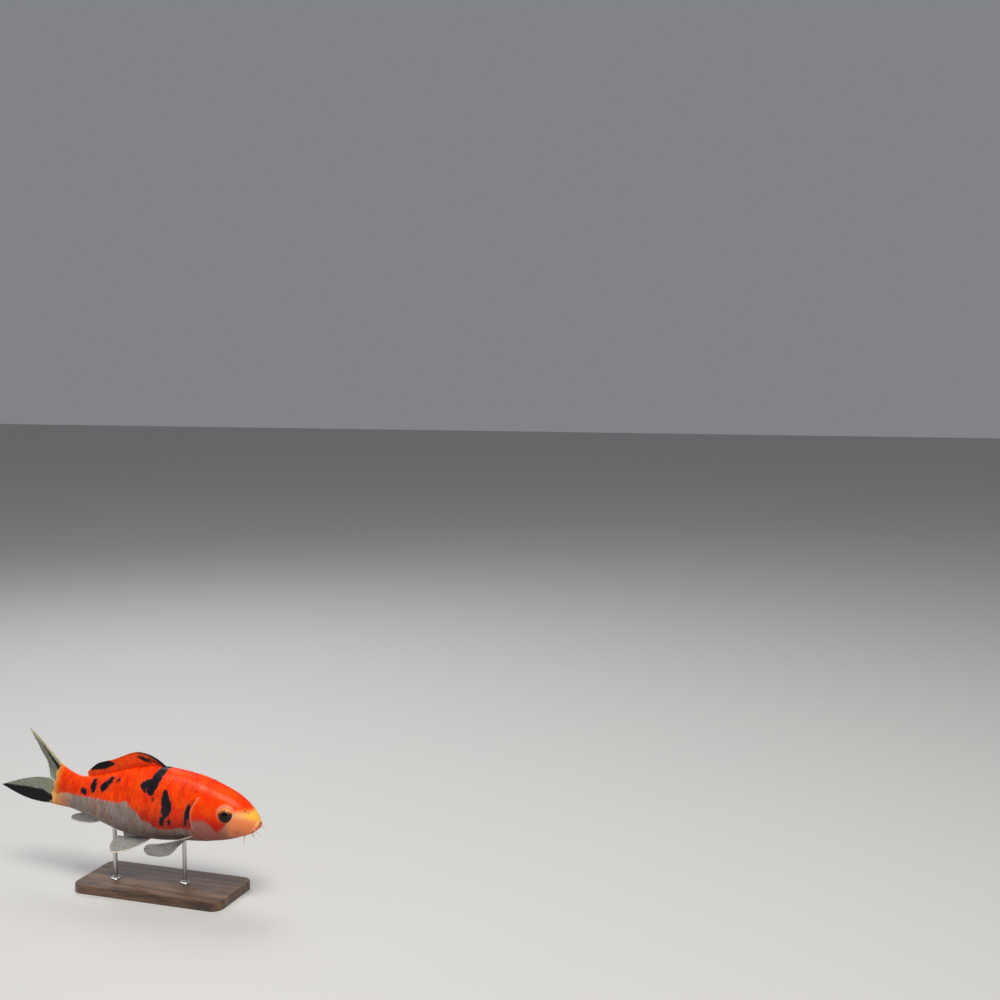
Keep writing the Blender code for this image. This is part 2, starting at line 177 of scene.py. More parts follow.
# --- the fish's form
@dataclass(frozen=True)
class FishForm:
    """The bent body that every piece is placed on, as the solids have it."""

    length: float = 0.210
    snout: tuple[float, float, float] = (0.100, 0.004, 0.079)
    yaw_bends: tuple = ((0.22, 0.60, 9.8), (0.55, 1.00, -20.0))
    pitch_bends: tuple = ((0.50, 1.00, 9.9), (1.00, 1.25, 15.8))
    roll_bends: tuple = ((0.45, 1.00, 9.5),)
    snout_set_back: float = 0.012
    outline: tuple = (
        (0.000, -0.036, -0.041, 0.016),
        (0.006, -0.020, -0.058, 0.024),
        (0.020, 0.001, -0.078, 0.034),
        (0.045, 0.021, -0.090, 0.045),
        (0.080, 0.049, -0.101, 0.057),
        (0.130, 0.079, -0.116, 0.072),
        (0.200, 0.108, -0.130, 0.085),
        (0.290, 0.137, -0.141, 0.094),
        (0.380, 0.154, -0.147, 0.096),
        (0.470, 0.164, -0.153, 0.092),
        (0.560, 0.157, -0.147, 0.083),
        (0.650, 0.136, -0.127, 0.070),
        (0.730, 0.111, -0.102, 0.056),
        (0.810, 0.086, -0.083, 0.041),
        (0.890, 0.071, -0.077, 0.028),
        (0.950, 0.077, -0.084, 0.019),
        (1.000, 0.090, -0.092, 0.012),
    )
    head_rear: tuple = (
        (0, 0.235), (35, 0.238), (60, 0.262), (90, 0.292), (115, 0.288), (145, 0.238), (180, 0.205),
    )

    def _bend(self, t: Array, bends: tuple) -> Array:
        """The spine's turn at t, in radians."""
        return np.radians(sum((deg * eased(t, start, end) for start, end, deg in bends), np.zeros_like(t)))

    def spine(self) -> dict[str, Array]:
        """The body's axis.

        Returns:
            Close stations 't' with the axis's 'place' and its 'left' and 'up' directions there.
        """
        t = np.linspace(0, 1.35, 541)
        yaw, pitch, roll = (self._bend(t, b) for b in (self.yaw_bends, self.pitch_bends, self.roll_bends))
        ahead = np.stack([np.cos(yaw) * np.cos(pitch), np.sin(yaw) * np.cos(pitch), -np.sin(pitch)], -1)
        left = np.stack([-np.sin(yaw), np.cos(yaw), 0 * yaw], -1)
        up = np.cross(ahead, left)
        cos, sin = np.cos(roll)[:, None], np.sin(roll)[:, None]
        steps = -(ahead[1:] + ahead[:-1]) / 2 * np.diff(t)[:, None]
        place = np.concatenate([np.zeros((1, 3)), np.cumsum(steps, 0)])
        return {"t": t, "place": place, "left": left * cos - up * sin, "up": up * cos + left * sin}

    def point(self, t: Array, y: Array, z: Array) -> Array:
        """World points for fish coordinates.

        Args:
            t: Back from the snout.
            y: To the fish's left.
            z: Up.

        Returns:
            The points in metres.
        """
        t, y, z = np.broadcast_arrays(np.asarray(t, float), y, z)

        def at(name: str) -> Array:
            """The spine's own place or direction, read at t."""
            return np.stack([np.interp(t, SPINE["t"], SPINE[name][:, k]) for k in range(3)], -1)

        bent = at("place") + at("left") * y[..., None] + at("up") * z[..., None]
        return np.array(self.snout) + bent * self.length

    def profile(self, column: int, t: Array) -> Array:
        """Top, bottom or half width (column 1, 2 or 3) at t."""
        rows = np.array(self.outline)
        return smooth_through(np.sqrt(rows[:, 0]), rows[:, column], np.sqrt(np.maximum(t, 0)))

    def section(self, t: Array, angle: Array) -> tuple[Array, Array, Array]:
        """The skin's own coordinates; the snout's sections lean.

        Args:
            t: Stations.
            angle: Angles in degrees.

        Returns:
            t, y and z of each place.
        """
        t, angle = np.broadcast_arrays(np.asarray(t, float), np.radians(angle))
        lean = 0.45 * t * (1 - eased(t, 0.04, 0.24))
        head = 1 - eased(t, 0.18, 0.34)
        top, bottom = self.profile(1, t - lean), self.profile(2, t + lean)
        cos, sin = np.cos(angle), np.sin(angle)
        power = np.where(cos > 0, 2 / (2 + 0.35 * head), 2 / (2 + 0.25 * head))
        rise = np.sign(cos) * np.abs(cos) ** power
        side = np.sign(sin) * np.abs(sin) ** (2 / (2 + 0.3 * head))
        back = t - lean * rise + self.snout_set_back * (1 - eased(t, 0, 0.14))
        return back, -self.profile(3, t) * side, (top + bottom) / 2 + rise * (top - bottom) / 2

    def skin(self, t: Array, angle: Array, out: Array | float = 0.0) -> Array:
        """World points on the skin, moved out along its normal by out metres."""
        here = self.point(*self.section(t, angle))
        return here + np.asarray(out)[..., None] * self.normal(t, angle) if np.any(out) else here

    def normal(self, t: Array, angle: Array) -> Array:
        """The skin's outward direction.

        Args:
            t: Stations.
            angle: Angles in degrees.

        Returns:
            A unit vector for each place.
        """
        t, angle = np.broadcast_arrays(np.asarray(t, float), np.asarray(angle, float))
        here = self.point(*self.section(t, angle))
        back = self.point(*self.section(t + 1e-3, angle)) - here
        round_ = self.point(*self.section(t, angle + 1.0)) - here
        return unit(np.cross(back, round_))

    def angle_at(self, t: float, z: float, side: Side = Side.RIGHT) -> float:
        """The angle at which a flank is at height z."""
        angles = np.linspace(8, 172, 657)
        return side.value * float(angles[np.argmin(np.abs(self.section(t, angles)[2] - z))])

    def head_edge(self, angle: Array) -> Array:
        """t of the head's rear edge, which is the gill cover's rear edge on the flanks."""
        turned = np.abs((np.asarray(angle) + 180) % 360 - 180)
        return smooth_through(*zip(*self.head_rear), turned)


FISH = FishForm()
FISH_MM = FISH.length / MM
SPINE = FISH.spine()


# --- meshes
def new_object(name: str, points: Array, faces: list, smooth: bool = True) -> Thing:
    """A mesh object at the origin.

    Args:
        name: The object's name.
        points: Its vertices in metres.
        faces: Index tuples.
        smooth: Whether its faces are shaded smooth.

    Returns:
        The new object, linked to the scene.
    """
    mesh = bpy.data.meshes.new(name)
    mesh.from_pydata(np.asarray(points, float).tolist(), [], faces)
    mesh.update()
    if smooth:
        mesh.shade_smooth()
    thing = bpy.data.objects.new(name, mesh)
    bpy.context.scene.collection.objects.link(thing)
    return thing


def grid_faces(rows: int, columns: int, wrap: bool) -> list:
    """Quads over a grid of points laid out row by row.

    Args:
        rows: How many rows.
        columns: How many points a row.
        wrap: Whether the last column joins the first.

    Returns:
        The faces' index tuples.
    """
    faces = []
    for i in range(rows - 1):
        here, below = i * columns, (i + 1) * columns
        for j in range(columns if wrap else columns - 1):
            k = (j + 1) % columns
            faces.append((here + j, below + j, below + k, here + k))
    return faces


def capped_faces(rings: int, columns: int) -> list:
    """Quads over closed rings, and a fan at either end to a pole that follows the rings' points.

    Args:
        rings: How many rings.
        columns: How many points a ring.

    Returns:
        The faces' index tuples.
    """
    faces, first, last = grid_faces(rings, columns, wrap=True), rings * columns, (rings - 1) * columns
    for j in range(columns):
        after = (j + 1) % columns
        faces += [(first, j, after), (first + 1, last + after, last + j)]
    return faces


def read_all(items: bpy.types.bpy_prop_collection, what: str, width: int = 1, kind: type = float) -> Array:
    """One property of every item.

    Args:
        items: Vertices, loops, faces or an attribute's data.
        what: The property's name.
        width: How many numbers it has.
        kind: Their type.

    Returns:
        The numbers, a row for each item where there are several.
    """
    values = np.empty(len(items) * width, kind)
    items.foreach_get(what, values)
    return values.reshape(-1, width) if width > 1 else values


def put_values(thing: Thing, name: str, values: Array) -> None:
    """Stores a number or a vector for each vertex.

    Args:
        thing: The mesh object.
        name: The attribute's name.
        values: The numbers, or vectors one a row.
    """
    values = np.asarray(values, np.float32)
    kind = "FLOAT" if values.ndim == 1 else "FLOAT_VECTOR"
    data = thing.data.attributes.new(name, kind, "POINT").data
    data.foreach_set("value" if values.ndim == 1 else "vector", values.ravel())


def face_out(thing: Thing) -> None:
    """Turns a closed mesh's faces outwards by the sign of its volume.

    Args:
        thing: The mesh object.
    """
    mesh = thing.data
    mesh.calc_loop_triangles()
    corners = read_all(mesh.loop_triangles, "vertices", 3, np.int32)
    if np.linalg.det(read_all(mesh.vertices, "co", 3)[corners]).sum() < 0:
        mesh.flip_normals()


def dress(thing: Thing, material: Material, slot: str, *nodes: str) -> None:
    """Gives a finished piece its material and its place in the frame.

    Args:
        thing: The piece.
        material: Its finish.
        slot: Not used.
        nodes: The solids that the piece stands for.
    """
    thing.data.materials.clear()
    thing.data.materials.append(material)
    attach(thing, "root")
    if nodes:
        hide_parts(*nodes)
    LOG.info("%s: %d faces", thing.name, len(thing.data.polygons))


# --- markings
@dataclass(frozen=True)
class Mark:
    """A brushed mark: a path over (t, z) with its half width in millimetres at each point."""

    path: tuple[tuple[float, float], ...]
    half_width: tuple[float, ...]
    far_outside: float = -9.0

    def inside(self, t: Array, z: Array) -> Array:
        """How far inside the mark each place is.

        Args:
            t: Stations.
            z: Heights.

        Returns:
            Millimetres, below 0 outside.
        """
        best = np.full(np.shape(t), self.far_outside)
        given = np.linspace(0, 1, len(self.half_width))
        starts = list(zip(self.path, np.interp(np.linspace(0, 1, len(self.path)), given, self.half_width)))
        for (a, wide_a), (b, wide_b) in zip(starts, starts[1:] or starts):
            run = np.array(b) - np.array(a)
            u = np.clip(((t - a[0]) * run[0] + (z - a[1]) * run[1]) / max(run @ run, 1e-12), 0, 1)
            gap = np.hypot(t - a[0] - u * run[0], z - a[1] - u * run[1]) * FISH_MM
            best = np.maximum(best, wide_a + (wide_b - wide_a) * u - gap)
        return best


@dataclass(frozen=True)
class Markings:
    """The koi's colours as fields over fish coordinates, shared by skin, scales and fins."""

    beni_edge_right: tuple = (
        (0.020, 0.006), (0.037, 0.009), (0.060, 0.013), (0.094, 0.018), (0.118, 0.004), (0.135, -0.036),
        (0.160, -0.060), (0.176, -0.072), (0.192, -0.056), (0.212, -0.034), (0.240, -0.024), (0.286, -0.028),
        (0.296, -0.070), (0.348, -0.069), (0.402, -0.080), (0.461, -0.081), (0.494, -0.058), (0.531, -0.046),
        (0.558, -0.009), (0.580, 0.004), (0.607, 0.028), (0.639, 0.015), (0.693, 0.013), (0.758, 0.011),
        (0.811, 0.002), (0.898, -0.008), (0.946, -0.022), (0.984, -0.040), (1.03, -0.030),
    )
    beni_edge_left: tuple = (
        (0.020, 0.006), (0.037, 0.009), (0.060, 0.013), (0.094, 0.018), (0.118, 0.004), (0.135, -0.030),
        (0.160, -0.054), (0.180, -0.060), (0.200, -0.044), (0.240, -0.020), (0.286, -0.020), (0.296, -0.052),
        (0.345, -0.060), (0.410, -0.050), (0.455, -0.018), (0.500, 0.022), (0.540, 0.020), (0.590, -0.030),
        (0.640, -0.050), (0.690, -0.030), (0.740, 0.010), (0.811, 0.016), (0.898, -0.002), (0.984, -0.030),
        (1.03, -0.030),
    )
    sumi_right: tuple[Mark, ...] = (
        Mark(((0.828, 0.025), (0.815, 0.021)), (2.7, 2.5)),
        Mark(((0.779, 0.074), (0.776, 0.060), (0.771, 0.040)), (2.4, 3.6, 2.2)),
        Mark(((0.722, 0.062), (0.712, 0.074)), (3.6, 3.4)),
        Mark(((0.708, 0.078), (0.690, 0.098), (0.680, 0.108)), (2.4, 2.2, 1.2)),
        Mark(((0.656, 0.098), (0.648, 0.108)), (0.9, 1.1)),
        Mark(((0.446, 0.170), (0.457, 0.146), (0.474, 0.114), (0.488, 0.080)), (3.2, 4.0, 4.8, 3.8)),
        Mark(((0.484, 0.112), (0.506, 0.108), (0.528, 0.097)), (3.2, 3.6, 2.4)),
        Mark(((0.520, 0.100), (0.516, 0.078)), (2.4, 1.4)),
        Mark(((0.474, 0.052), (0.473, 0.042)), (1.2, 0.9)),
        Mark(((0.414, 0.080), (0.408, 0.052), (0.404, 0.024), (0.411, 0.000), (0.416, -0.016)),
             (2.4, 4.6, 5.6, 4.6, 2.4)),
        Mark(((0.430, -0.036), (0.435, -0.049)), (3.0, 2.8)),
        Mark(((0.398, -0.040), (0.397, -0.050)), (1.7, 1.5)),
        Mark(((0.297, 0.036), (0.303, 0.010), (0.312, -0.024), (0.318, -0.052)), (1.4, 2.1, 2.2, 1.2)),
    )
    sumi_left: tuple[Mark, ...] = (
        Mark(((0.446, 0.170), (0.444, 0.140), (0.420, 0.104)), (3.4, 3.2, 1.8)),
        Mark(((0.312, 0.072), (0.322, 0.040), (0.318, 0.006)), (1.3, 3.0, 1.2)),
        Mark(((0.520, 0.066), (0.548, 0.036), (0.590, 0.028)), (1.8, 3.8, 2.0)),
        Mark(((0.545, 0.006), (0.552, -0.018)), (2.2, 1.2)),
        Mark(((0.694, 0.088), (0.728, 0.064)), (2.9, 1.6)),
        Mark(((0.640, -0.010), (0.646, -0.022)), (1.9, 1.5)),
        Mark(((0.846, 0.038), (0.868, 0.028)), (2.2, 1.2)),
        Mark(((0.370, -0.032), (0.378, -0.048)), (1.5, 1.8)),
    )
    sumi_fins: dict[str, tuple[Mark, ...]] = field(
        default_factory=lambda: {
            "fin_dorsal": (
                Mark(((0.436, 0.158), (0.500, 0.200), (0.550, 0.224), (0.580, 0.228)), (2.6, 1.3, 1.0, 0.9)),
                Mark(((0.480, 0.172), (0.520, 0.190), (0.560, 0.200)), (0.8, 1.0, 0.6)),
                Mark(((0.580, 0.202), (0.550, 0.191), (0.522, 0.181)), (1.2, 2.1, 1.3)),
                Mark(((0.712, 0.156), (0.750, 0.148), (0.790, 0.138), (0.822, 0.118)), (1.6, 4.0, 4.2, 2.2)),
            ),
            "fin_tail_upper": (
                Mark(((0.996, 0.056), (1.030, 0.070), (1.080, 0.088), (1.150, 0.120)), (1.8, 2.4, 2.1, 0.9)),
                Mark(((1.120, 0.110), (1.200, 0.132)), (0.7, 0.6)),
            ),
            "fin_tail_lower": (
                Mark(((1.020, -0.070), (1.070, -0.079), (1.140, -0.098), (1.200, -0.122), (1.268, -0.148)),
                     (3.0, 6.0, 5.4, 4.0, 2.4)),
                Mark(((1.030, -0.084), (1.130, -0.112), (1.274, -0.152)), (2.2, 3.2, 1.8)),
            ),
        }
    )

    def beni(self, t: Array, y: Array, z: Array) -> Array:
        """How far inside the orange each place of the body is.

        Args:
            t: Stations.
            y: Left of the middle, which tells the flank.
            z: Heights.

        Returns:
            Millimetres, below 0 outside.
        """
        edges = self.beni_edge_right, self.beni_edge_left
        right, left = ((z - smooth_through(*zip(*edge), t)) * FISH_MM for edge in edges)
        return right + (left - right) * eased(y, -0.004, 0.004)

    def sumi(self, t: Array, y: Array, z: Array) -> Array:
        """How far inside the black each place of the body is.

        Args:
            t: Stations.
            y: Left of the middle, which tells the flank.
            z: Heights.

        Returns:
            Millimetres, below 0 outside.
        """
        sides = self.sumi_right, self.sumi_left
        right, left = (np.max([mark.inside(t, z) for mark in marks], axis=0) for marks in sides)
        return right + (left - right) * eased(y, -0.003, 0.003)

    def face(self, t: Array, y: Array, z: Array) -> dict[str, Array]:
        """The gold of snout and tail root, the muzzle's peach and the throat's blush.

        Args:
            t: Stations.
            y: Left of the middle.
            z: Heights.

        Returns:
            The shares from 0 to 1 by name.
        """
        below = -self.beni(t, y, z)
        gold = bump(below, 2.2, 3.0) * (1 - eased(t, 0.035, 0.105))
        gold = gold + (1 - eased(t, 0.008, 0.030)) * eased(z, -0.046, -0.02)
        peach = (1 - eased(t, 0.105, 0.165)) * eased(z, -0.120, -0.080)
        stem = 0.8 * eased(t, 0.86, 0.98) * (1 - eased(z, 0.0, 0.05))
        gold = gold + 0.50 * eased(t, 0.960, 1.005) + 0.30 * eased(t, 0.93, 1.0) * (1 - eased(z, -0.06, 0.0))
        cheek = 0.75 * eased(t, 0.07, 0.15) * (1 - eased(t, 0.27, 0.33)) * eased(z, -0.15, -0.10)
        lips = bump(np.hypot(t - 0.095, z + 0.076) * FISH_MM, 0, 3.4)
        return {
            "gold": np.clip(gold, 0, 1), "peach": np.clip(np.maximum(peach, stem), 0, 1),
            "blush": np.clip(np.maximum(cheek * (1 - peach), 0.45 * lips), 0, 1),
        }

    def store(self, thing: Thing, t: Array, y: Array, z: Array) -> None:
        """Puts the body's fields on a mesh, a value for each vertex.

        Args:
            thing: The mesh object.
            t: Stations.
            y: Left of the middle.
            z: Heights.
        """
        put_values(thing, "beni", self.beni(t, y, z))
        put_values(thing, "sumi", self.sumi(t, y, z))
        put_values(thing, "place", np.stack([t, y, z], -1))
        for name, values in self.face(t, y, z).items():
            put_values(thing, name, values)

    def store_on_fin(self, thing: Thing, name: str, t: Array, z: Array) -> None:
        """Puts a fin's own black on its mesh.

        Args:
            thing: The fin.
            name: The fin's name.
            t: Stations.
            z: Heights.
        """
        marks = [mark.inside(t, z) for mark in self.sumi_fins.get(name, ())]
        put_values(thing, "sumi", np.max([np.full(len(t), Mark.far_outside), *marks], axis=0))


MARKINGS = Markings()


# --- skin
@dataclass(frozen=True)
class Crease:
    """A line pressed into or raised from the head's skin; places are (t, angle) on the right.

    One that goes across starts at the left end of its mirror image and ends at its own.
    """

    path: tuple[tuple[float, float], ...]
    height: float
    width: float
    aside: float = 0.0
    fade: tuple[float, float] = (0.12, 0.12)
    across: bool = False
    reach: float = 6 * MM
    turn_scale: float = 400.0
    steps: int = 33

    def relief(self, points: Array, angles: Array, side: Side) -> Array:
        """The height in metres that the crease adds at each point.

        Args:
            points: World points on the skin.
            angles: Their angles in degrees, from -180 to 180.
            side: The flank that this copy lies on.

        Returns:
            One height for each point.
        """
        stations, turns = np.array(self.path).T
        line = along(np.stack([stations, turns / self.turn_scale], -1), self.steps)
        t, turn = line[:, 0], line[:, 1] * self.turn_scale
        world = FISH.skin(t, side.value * turn)
        if self.across:
            world = np.concatenate([FISH.skin(t[::-1], -turn[::-1]), world])
            turn = np.concatenate([turn[::-1], turn])
        distance, share = path_distance(points, world, self.reach)
        if self.aside:
            way = way_along(world)
            turned = np.abs(angles) if self.across else angles * side.value
            path_turn = np.interp(share, way / way[-1], turn)
            distance = np.abs(np.where(turned < path_turn, -distance, distance) - self.aside)
        ends = eased(share, -0.001, self.fade[0]) * (1 - eased(share, 1 - self.fade[1], 1.001))
        lone = np.where(share > 0.999, 1 - eased(distance, 0, self.width * 1.6), 1.0)
        return self.height * np.exp(-((distance / self.width) ** 2)) * ends * lone


@dataclass(frozen=True)
class Pit:
    """A round hollow or knob on the head at (t, z)."""

    at: tuple[float, float]
    height: float
    radius: float

    def relief(self, points: Array, side: Side) -> Array:
        """The height in metres that it adds at each point."""
        gap = np.linalg.norm(points - FISH.skin(self.at[0], FISH.angle_at(*self.at, side)), axis=1)
        return self.height * np.exp(-((gap / self.radius) ** 2.6))


@dataclass
class EyeSeat:
    """Where an eye sits and how the skin meets it."""

    at: tuple[float, float] = (0.146, 0.003)
    radius: float = 6.4 * MM
    half_depth: float = 4.2 * MM
    sunk: float = 1.9 * MM
    reach_back: float = 3 * MM

    def centre_and_look(self, side: Side) -> tuple[Array, Array]:
        """How the eyeball sits.

        Args:
            side: The flank.

        Returns:
            Its centre, and the unit vector that it looks along.
        """
        t, z = self.at
        angles = np.linspace(20, 170, 301)
        angle = side.value * float(angles[np.argmin(np.abs(FISH.section(t, angles)[2] - z))])
        look = FISH.normal(t, angle)
        return FISH.skin(t, angle) - look * self.sunk, look

    def from_axis(self, points: Array, side: Side) -> tuple[Array, Array, Array]:
        """Where points are as the eye's axis sees them.

        Args:
            points: World points.
            side: The flank.

        Returns:
            Whether each is level with the eye, its height over the axis and its way from it in millimetres.
        """
        centre, look = self.centre_and_look(side)
        level = (points - centre) @ look
        across = points - centre - level[:, None] * look
        return level > -self.reach_back, across[:, 2] / MM, np.linalg.norm(across, axis=1) / MM

    def relief(self, points: Array, side: Side) -> Array:
        """The rim round the eye and the seat under it.

        Args:
            points: World points on the skin.
            side: The flank.

        Returns:
            A height in metres for each point.
        """
        in_front, _, radius = self.from_axis(points, side)
        rim = 0.20 * bump(radius, 7.15, 0.42) - 0.22 * bump(radius, 8.2, 0.6) + 0.10 * bump(radius, 9.6, 0.9)
        seat = -0.62 * (1 - eased(radius, 6.1, 7.0)) - 2.0 * (1 - eased(radius, 4.9, 6.05))
        return np.where(in_front & (radius < 14), (rim + seat) * MM, 0.0)

    def lid(self, points: Array, side: Side) -> Array:
        """The pale ring round the eye, wider and stronger above it: partly pale skin, partly a painted
        highlight.

        Args:
            points: World points on the skin.
            side: The flank.

        Returns:
            A share from 0 to 1 for each point.
        """
        in_front, height, radius = self.from_axis(points, side)
        above = height / np.maximum(radius, 0.1)
        outer = 7.3 + 1.9 * eased(above, -0.3, 1.0)
        fade = (0.50 + 0.50 * eased(above, -0.2, 0.8)) * (1 - eased(radius, outer - 0.8, outer + 1.3))
        return np.where(in_front, fade, 0.0)


@dataclass
class KoiSkin:
    """The one skin over head, gill covers, trunk and tail stem."""

    columns: int = 256
    bare_depth: float = 0.10 * MM
    scaled_depth: float = 0.36 * MM
    flap_rise: float = 0.50 * MM
    flap_angles: tuple[float, float, float, float] = (50.0, 66.0, 144.0, 158.0)
    seat: EyeSeat = field(default_factory=EyeSeat)
    gape: tuple = (
        (0.0004, 91.0), (0.002, 100.0), (0.005, 110.0), (0.010, 120.0), (0.018, 128.5), (0.027, 134.0),
        (0.035, 138.0),
    )
    lip_arch: float = 1.70 * MM
    lip_half_width: float = 3.36 * MM
    slit_closed: float = 0.72
    pits: tuple[Pit, ...] = (
        Pit((0.069, 0.010), 0.30 * MM, 1.70 * MM),
        Pit((0.069, 0.010), -1.10 * MM, 0.80 * MM),
        Pit((0.0765, 0.0135), 0.62 * MM, 0.62 * MM),
        Pit((0.085, 0.0165), 0.24 * MM, 2.00 * MM),
        Pit((0.085, 0.0165), -1.20 * MM, 1.05 * MM),
    )
    flap: tuple = (
        (-1.6, -1.6, 0.00), (-0.9, -0.9, 0.00), (-0.5, -0.4, 0.00), (-0.2, -0.1, -0.02), (0.0, 0.10, -0.09),
        (0.2, 0.22, -0.22), (0.3, 0.20, -0.38), (0.4, 0.05, -0.50), (0.5, -0.4, -0.62), (0.6, -1.3, -0.84),
        (0.8, -1.9, -1.20), (1.0, -1.3, -1.50), (1.2, -0.4, -1.38), (1.5, 0.4, -1.12), (1.8, 1.2, -0.92),
        (2.2, 2.2, -0.76),
    )
    muzzle_rings: int = 64
    cheek_rings: int = 103
    body_rings: int = 171

    def creases(self) -> tuple[Crease, ...]:
        """The head's folds, sutures and grooves.

        Returns:
            The lips' rolls first, then the grooves from the mouth backwards.
        """
        preopercle = (
            (0.196, 56), (0.214, 72), (0.221, 92), (0.214, 112), (0.190, 130), (0.150, 145), (0.105, 155),
        )
        cheek = ((0.115, 118), (0.140, 124), (0.170, 121), (0.192, 108), (0.196, 92))
        cover = ((0.222, 104), (0.245, 121), (0.262, 136))
        throat = ((0.105, 163), (0.150, 161), (0.200, 158), (0.232, 154))
        throat_inner = ((0.120, 170), (0.165, 169), (0.205, 167))
        brow = ((0.092, 46), (0.120, 41), (0.150, 40), (0.185, 44), (0.205, 52))
        muzzle = ((0.034, 30), (0.046, 60), (0.056, 88), (0.060, 112), (0.058, 130))
        jaw = ((0.040, 142), (0.062, 148), (0.090, 152), (0.120, 156))
        grooves = (
            (self.gape, -0.95, 0.38, 0.0, (0.05, 0.05), True),
            (self.gape, -0.30, 0.60, -3.00, (0.20, 0.20), True),
            (self.gape, -0.22, 0.80, 2.90, (0.38, 0.38), True),
            (muzzle, -0.16, 0.80, 0.0, (0.45, 0.30), False),
            (muzzle, 0.12, 1.20, 1.60, (0.45, 0.30), False),
            (preopercle, -0.26, 0.75, 0.0, (0.25, 0.20), False),
            (preopercle, 0.22, 1.10, -1.50, (0.25, 0.20), False),
            (cheek, -0.16, 0.80, 0.0, (0.30, 0.30), False),
            (cover, -0.14, 0.60, 0.0, (0.35, 0.35), False),
            (throat, -0.18, 0.80, 0.0, (0.30, 0.30), False),
            (throat_inner, -0.14, 0.70, 0.0, (0.30, 0.30), False),
            (brow, 0.20, 1.30, 0.0, (0.25, 0.25), False),
            (jaw, -0.15, 0.70, 0.0, (0.30, 0.30), False),
        )
        made = (Crease(path, h * MM, w * MM, aside * MM, *more) for path, h, w, aside, *more in grooves)
        return *self.lips(), *made

    def lips(self) -> tuple[Crease, Crease]:
        """The rolls of the lips along the mouth's line.

        Returns:
            The upper and the lower roll.
        """
        return (
            Crease(self.gape, 0.52 * MM, 1.00 * MM, -1.45 * MM, (0.18, 0.18), True),
            Crease(self.gape, 0.46 * MM, 0.85 * MM, 1.25 * MM, (0.34, 0.34), True),
        )

    def pores(self) -> list[Pit]:
        """The small sense pores below the eye, up the cheek and over the crown.

        Returns:
            A shallow pit for each.
        """
        places = (
            (0.108, -0.020), (0.116, -0.034), (0.130, -0.044), (0.147, -0.048), (0.164, -0.045),
            (0.179, -0.034), (0.206, 0.040), (0.214, 0.020), (0.217, -0.002), (0.213, -0.024),
            (0.204, -0.045), (0.188, -0.064), (0.110, 0.052), (0.130, 0.060), (0.152, 0.066),
            (0.176, 0.070), (0.200, 0.072), (0.222, 0.070),
        )
        return [Pit(place, -0.16 * MM, 0.34 * MM) for place in places]

    def flap_share(self, angles: Array) -> Array:
        """1 where the gill cover is free of the body and 0 where it has grown on."""
        turned, stops = np.abs(angles), self.flap_angles
        return eased(turned, stops[0], stops[1]) * (1 - eased(turned, stops[2], stops[3]))

    def rows(self, angles: Array) -> tuple[Array, Array, Array]:
        """The grid of the skin from the lips to the tail's root.

        Args:
            angles: The columns' angles in degrees.

        Returns:
            t, the height over the solids' skin in metres, and how much each row is head (1) or
            trunk (0), each with a row for every ring.
        """
        edge, free = FISH.head_edge(angles), self.flap_share(angles)
        near = np.linspace(0, 1, self.muzzle_rings) ** 1.35 * 0.26
        shares = np.concatenate([near, np.linspace(0.26, 0.955, self.cheek_rings + 1)[1:]])[:, None]
        head_t = shares * edge
        head_out = -self.bare_depth + self.flap_rise * free * shares**4
        plain, freed, out = (np.array(column)[:, None] for column in zip(*self.flap))
        edge_t = edge + (plain + (freed - plain) * free) / FISH_MM
        settle = eased(np.linspace(0, 1, len(plain)), 0.2, 1.0)[:, None]
        grown = -self.bare_depth + (self.bare_depth - self.scaled_depth) * settle
        flap_out = (self.flap_rise - self.bare_depth) * free + out * MM * free
        edge_out = flap_out + (1 - free) * grown
        body = np.linspace(0, 1, self.body_rings + 1)[1:, None] ** 1.04
        body_t = edge_t[-1] + (1.0 - edge_t[-1]) * body
        body_out = -self.scaled_depth + (edge_out[-1] + self.scaled_depth) * (1 - eased(body, 0.0, 0.03))
        t = np.concatenate([head_t, edge_t, body_t])
        out = np.concatenate([head_out, edge_out, np.broadcast_to(body_out, body_t.shape)])
        fading = np.linspace(1, 0.2, len(plain))
        headness = np.concatenate([np.ones(len(head_t)), fading, np.zeros(len(body_t))])
        return t, out, np.broadcast_to(headness[:, None], t.shape)

    def build(self) -> Thing:
        """Makes the skin, sculpted on the head and plain under the scales.

        Returns:
            The skin with its markings and map.
        """
        angles = np.arange(self.columns) * 360.0 / self.columns
        angles = np.where(angles > 180, angles - 360, angles)
        t, out, headness = self.rows(angles)
        turn = np.broadcast_to(angles, t.shape)
        base = FISH.skin(t, turn)
        normal = FISH.normal(np.maximum(t, 4e-4), turn)
        flat, turns = base.reshape(-1, 3), turn.ravel()
        relief = np.zeros(len(flat))
        sculpted = headness.ravel() > 0.15
        some, some_turns = flat[sculpted], turns[sculpted]
        added = np.zeros(len(some))
        for side in Side:
            for crease in self.creases():
                if side is Side.RIGHT or not crease.across:
                    added += crease.relief(some, some_turns, side)
            for pit in (*self.pits, *self.pores()):
                added += pit.relief(some, side)
            added += self.seat.relief(some, side)
        relief[sculpted] = added
        lips = np.zeros(len(flat))
        lips[sculpted] = sum(roll.relief(some, some_turns, Side.RIGHT) / roll.height for roll in self.lips())
        # The eye's pale ring, partly a painted highlight above the eye, is laid in with the lips' colour.
        lips[sculpted] += sum(1.3 * self.seat.lid(some, side) for side in Side)
        points = base + normal * (out + relief.reshape(t.shape))[..., None]
        place = np.stack(FISH.section(t, turn), -1)
        points = self.shut_mouth(points, t, place[..., 1])
        inner, inner_place = self.mouth_rows(points[0], place[0])
        tail, tail_place = self.tail_rows(points[-1], place[-1])
        points = np.concatenate([inner, points, tail])
        place = np.concatenate([inner_place, place, tail_place])
        poles = [points[0].mean(0), points[-1].mean(0)]
        everything = np.concatenate([points.reshape(-1, 3), poles])
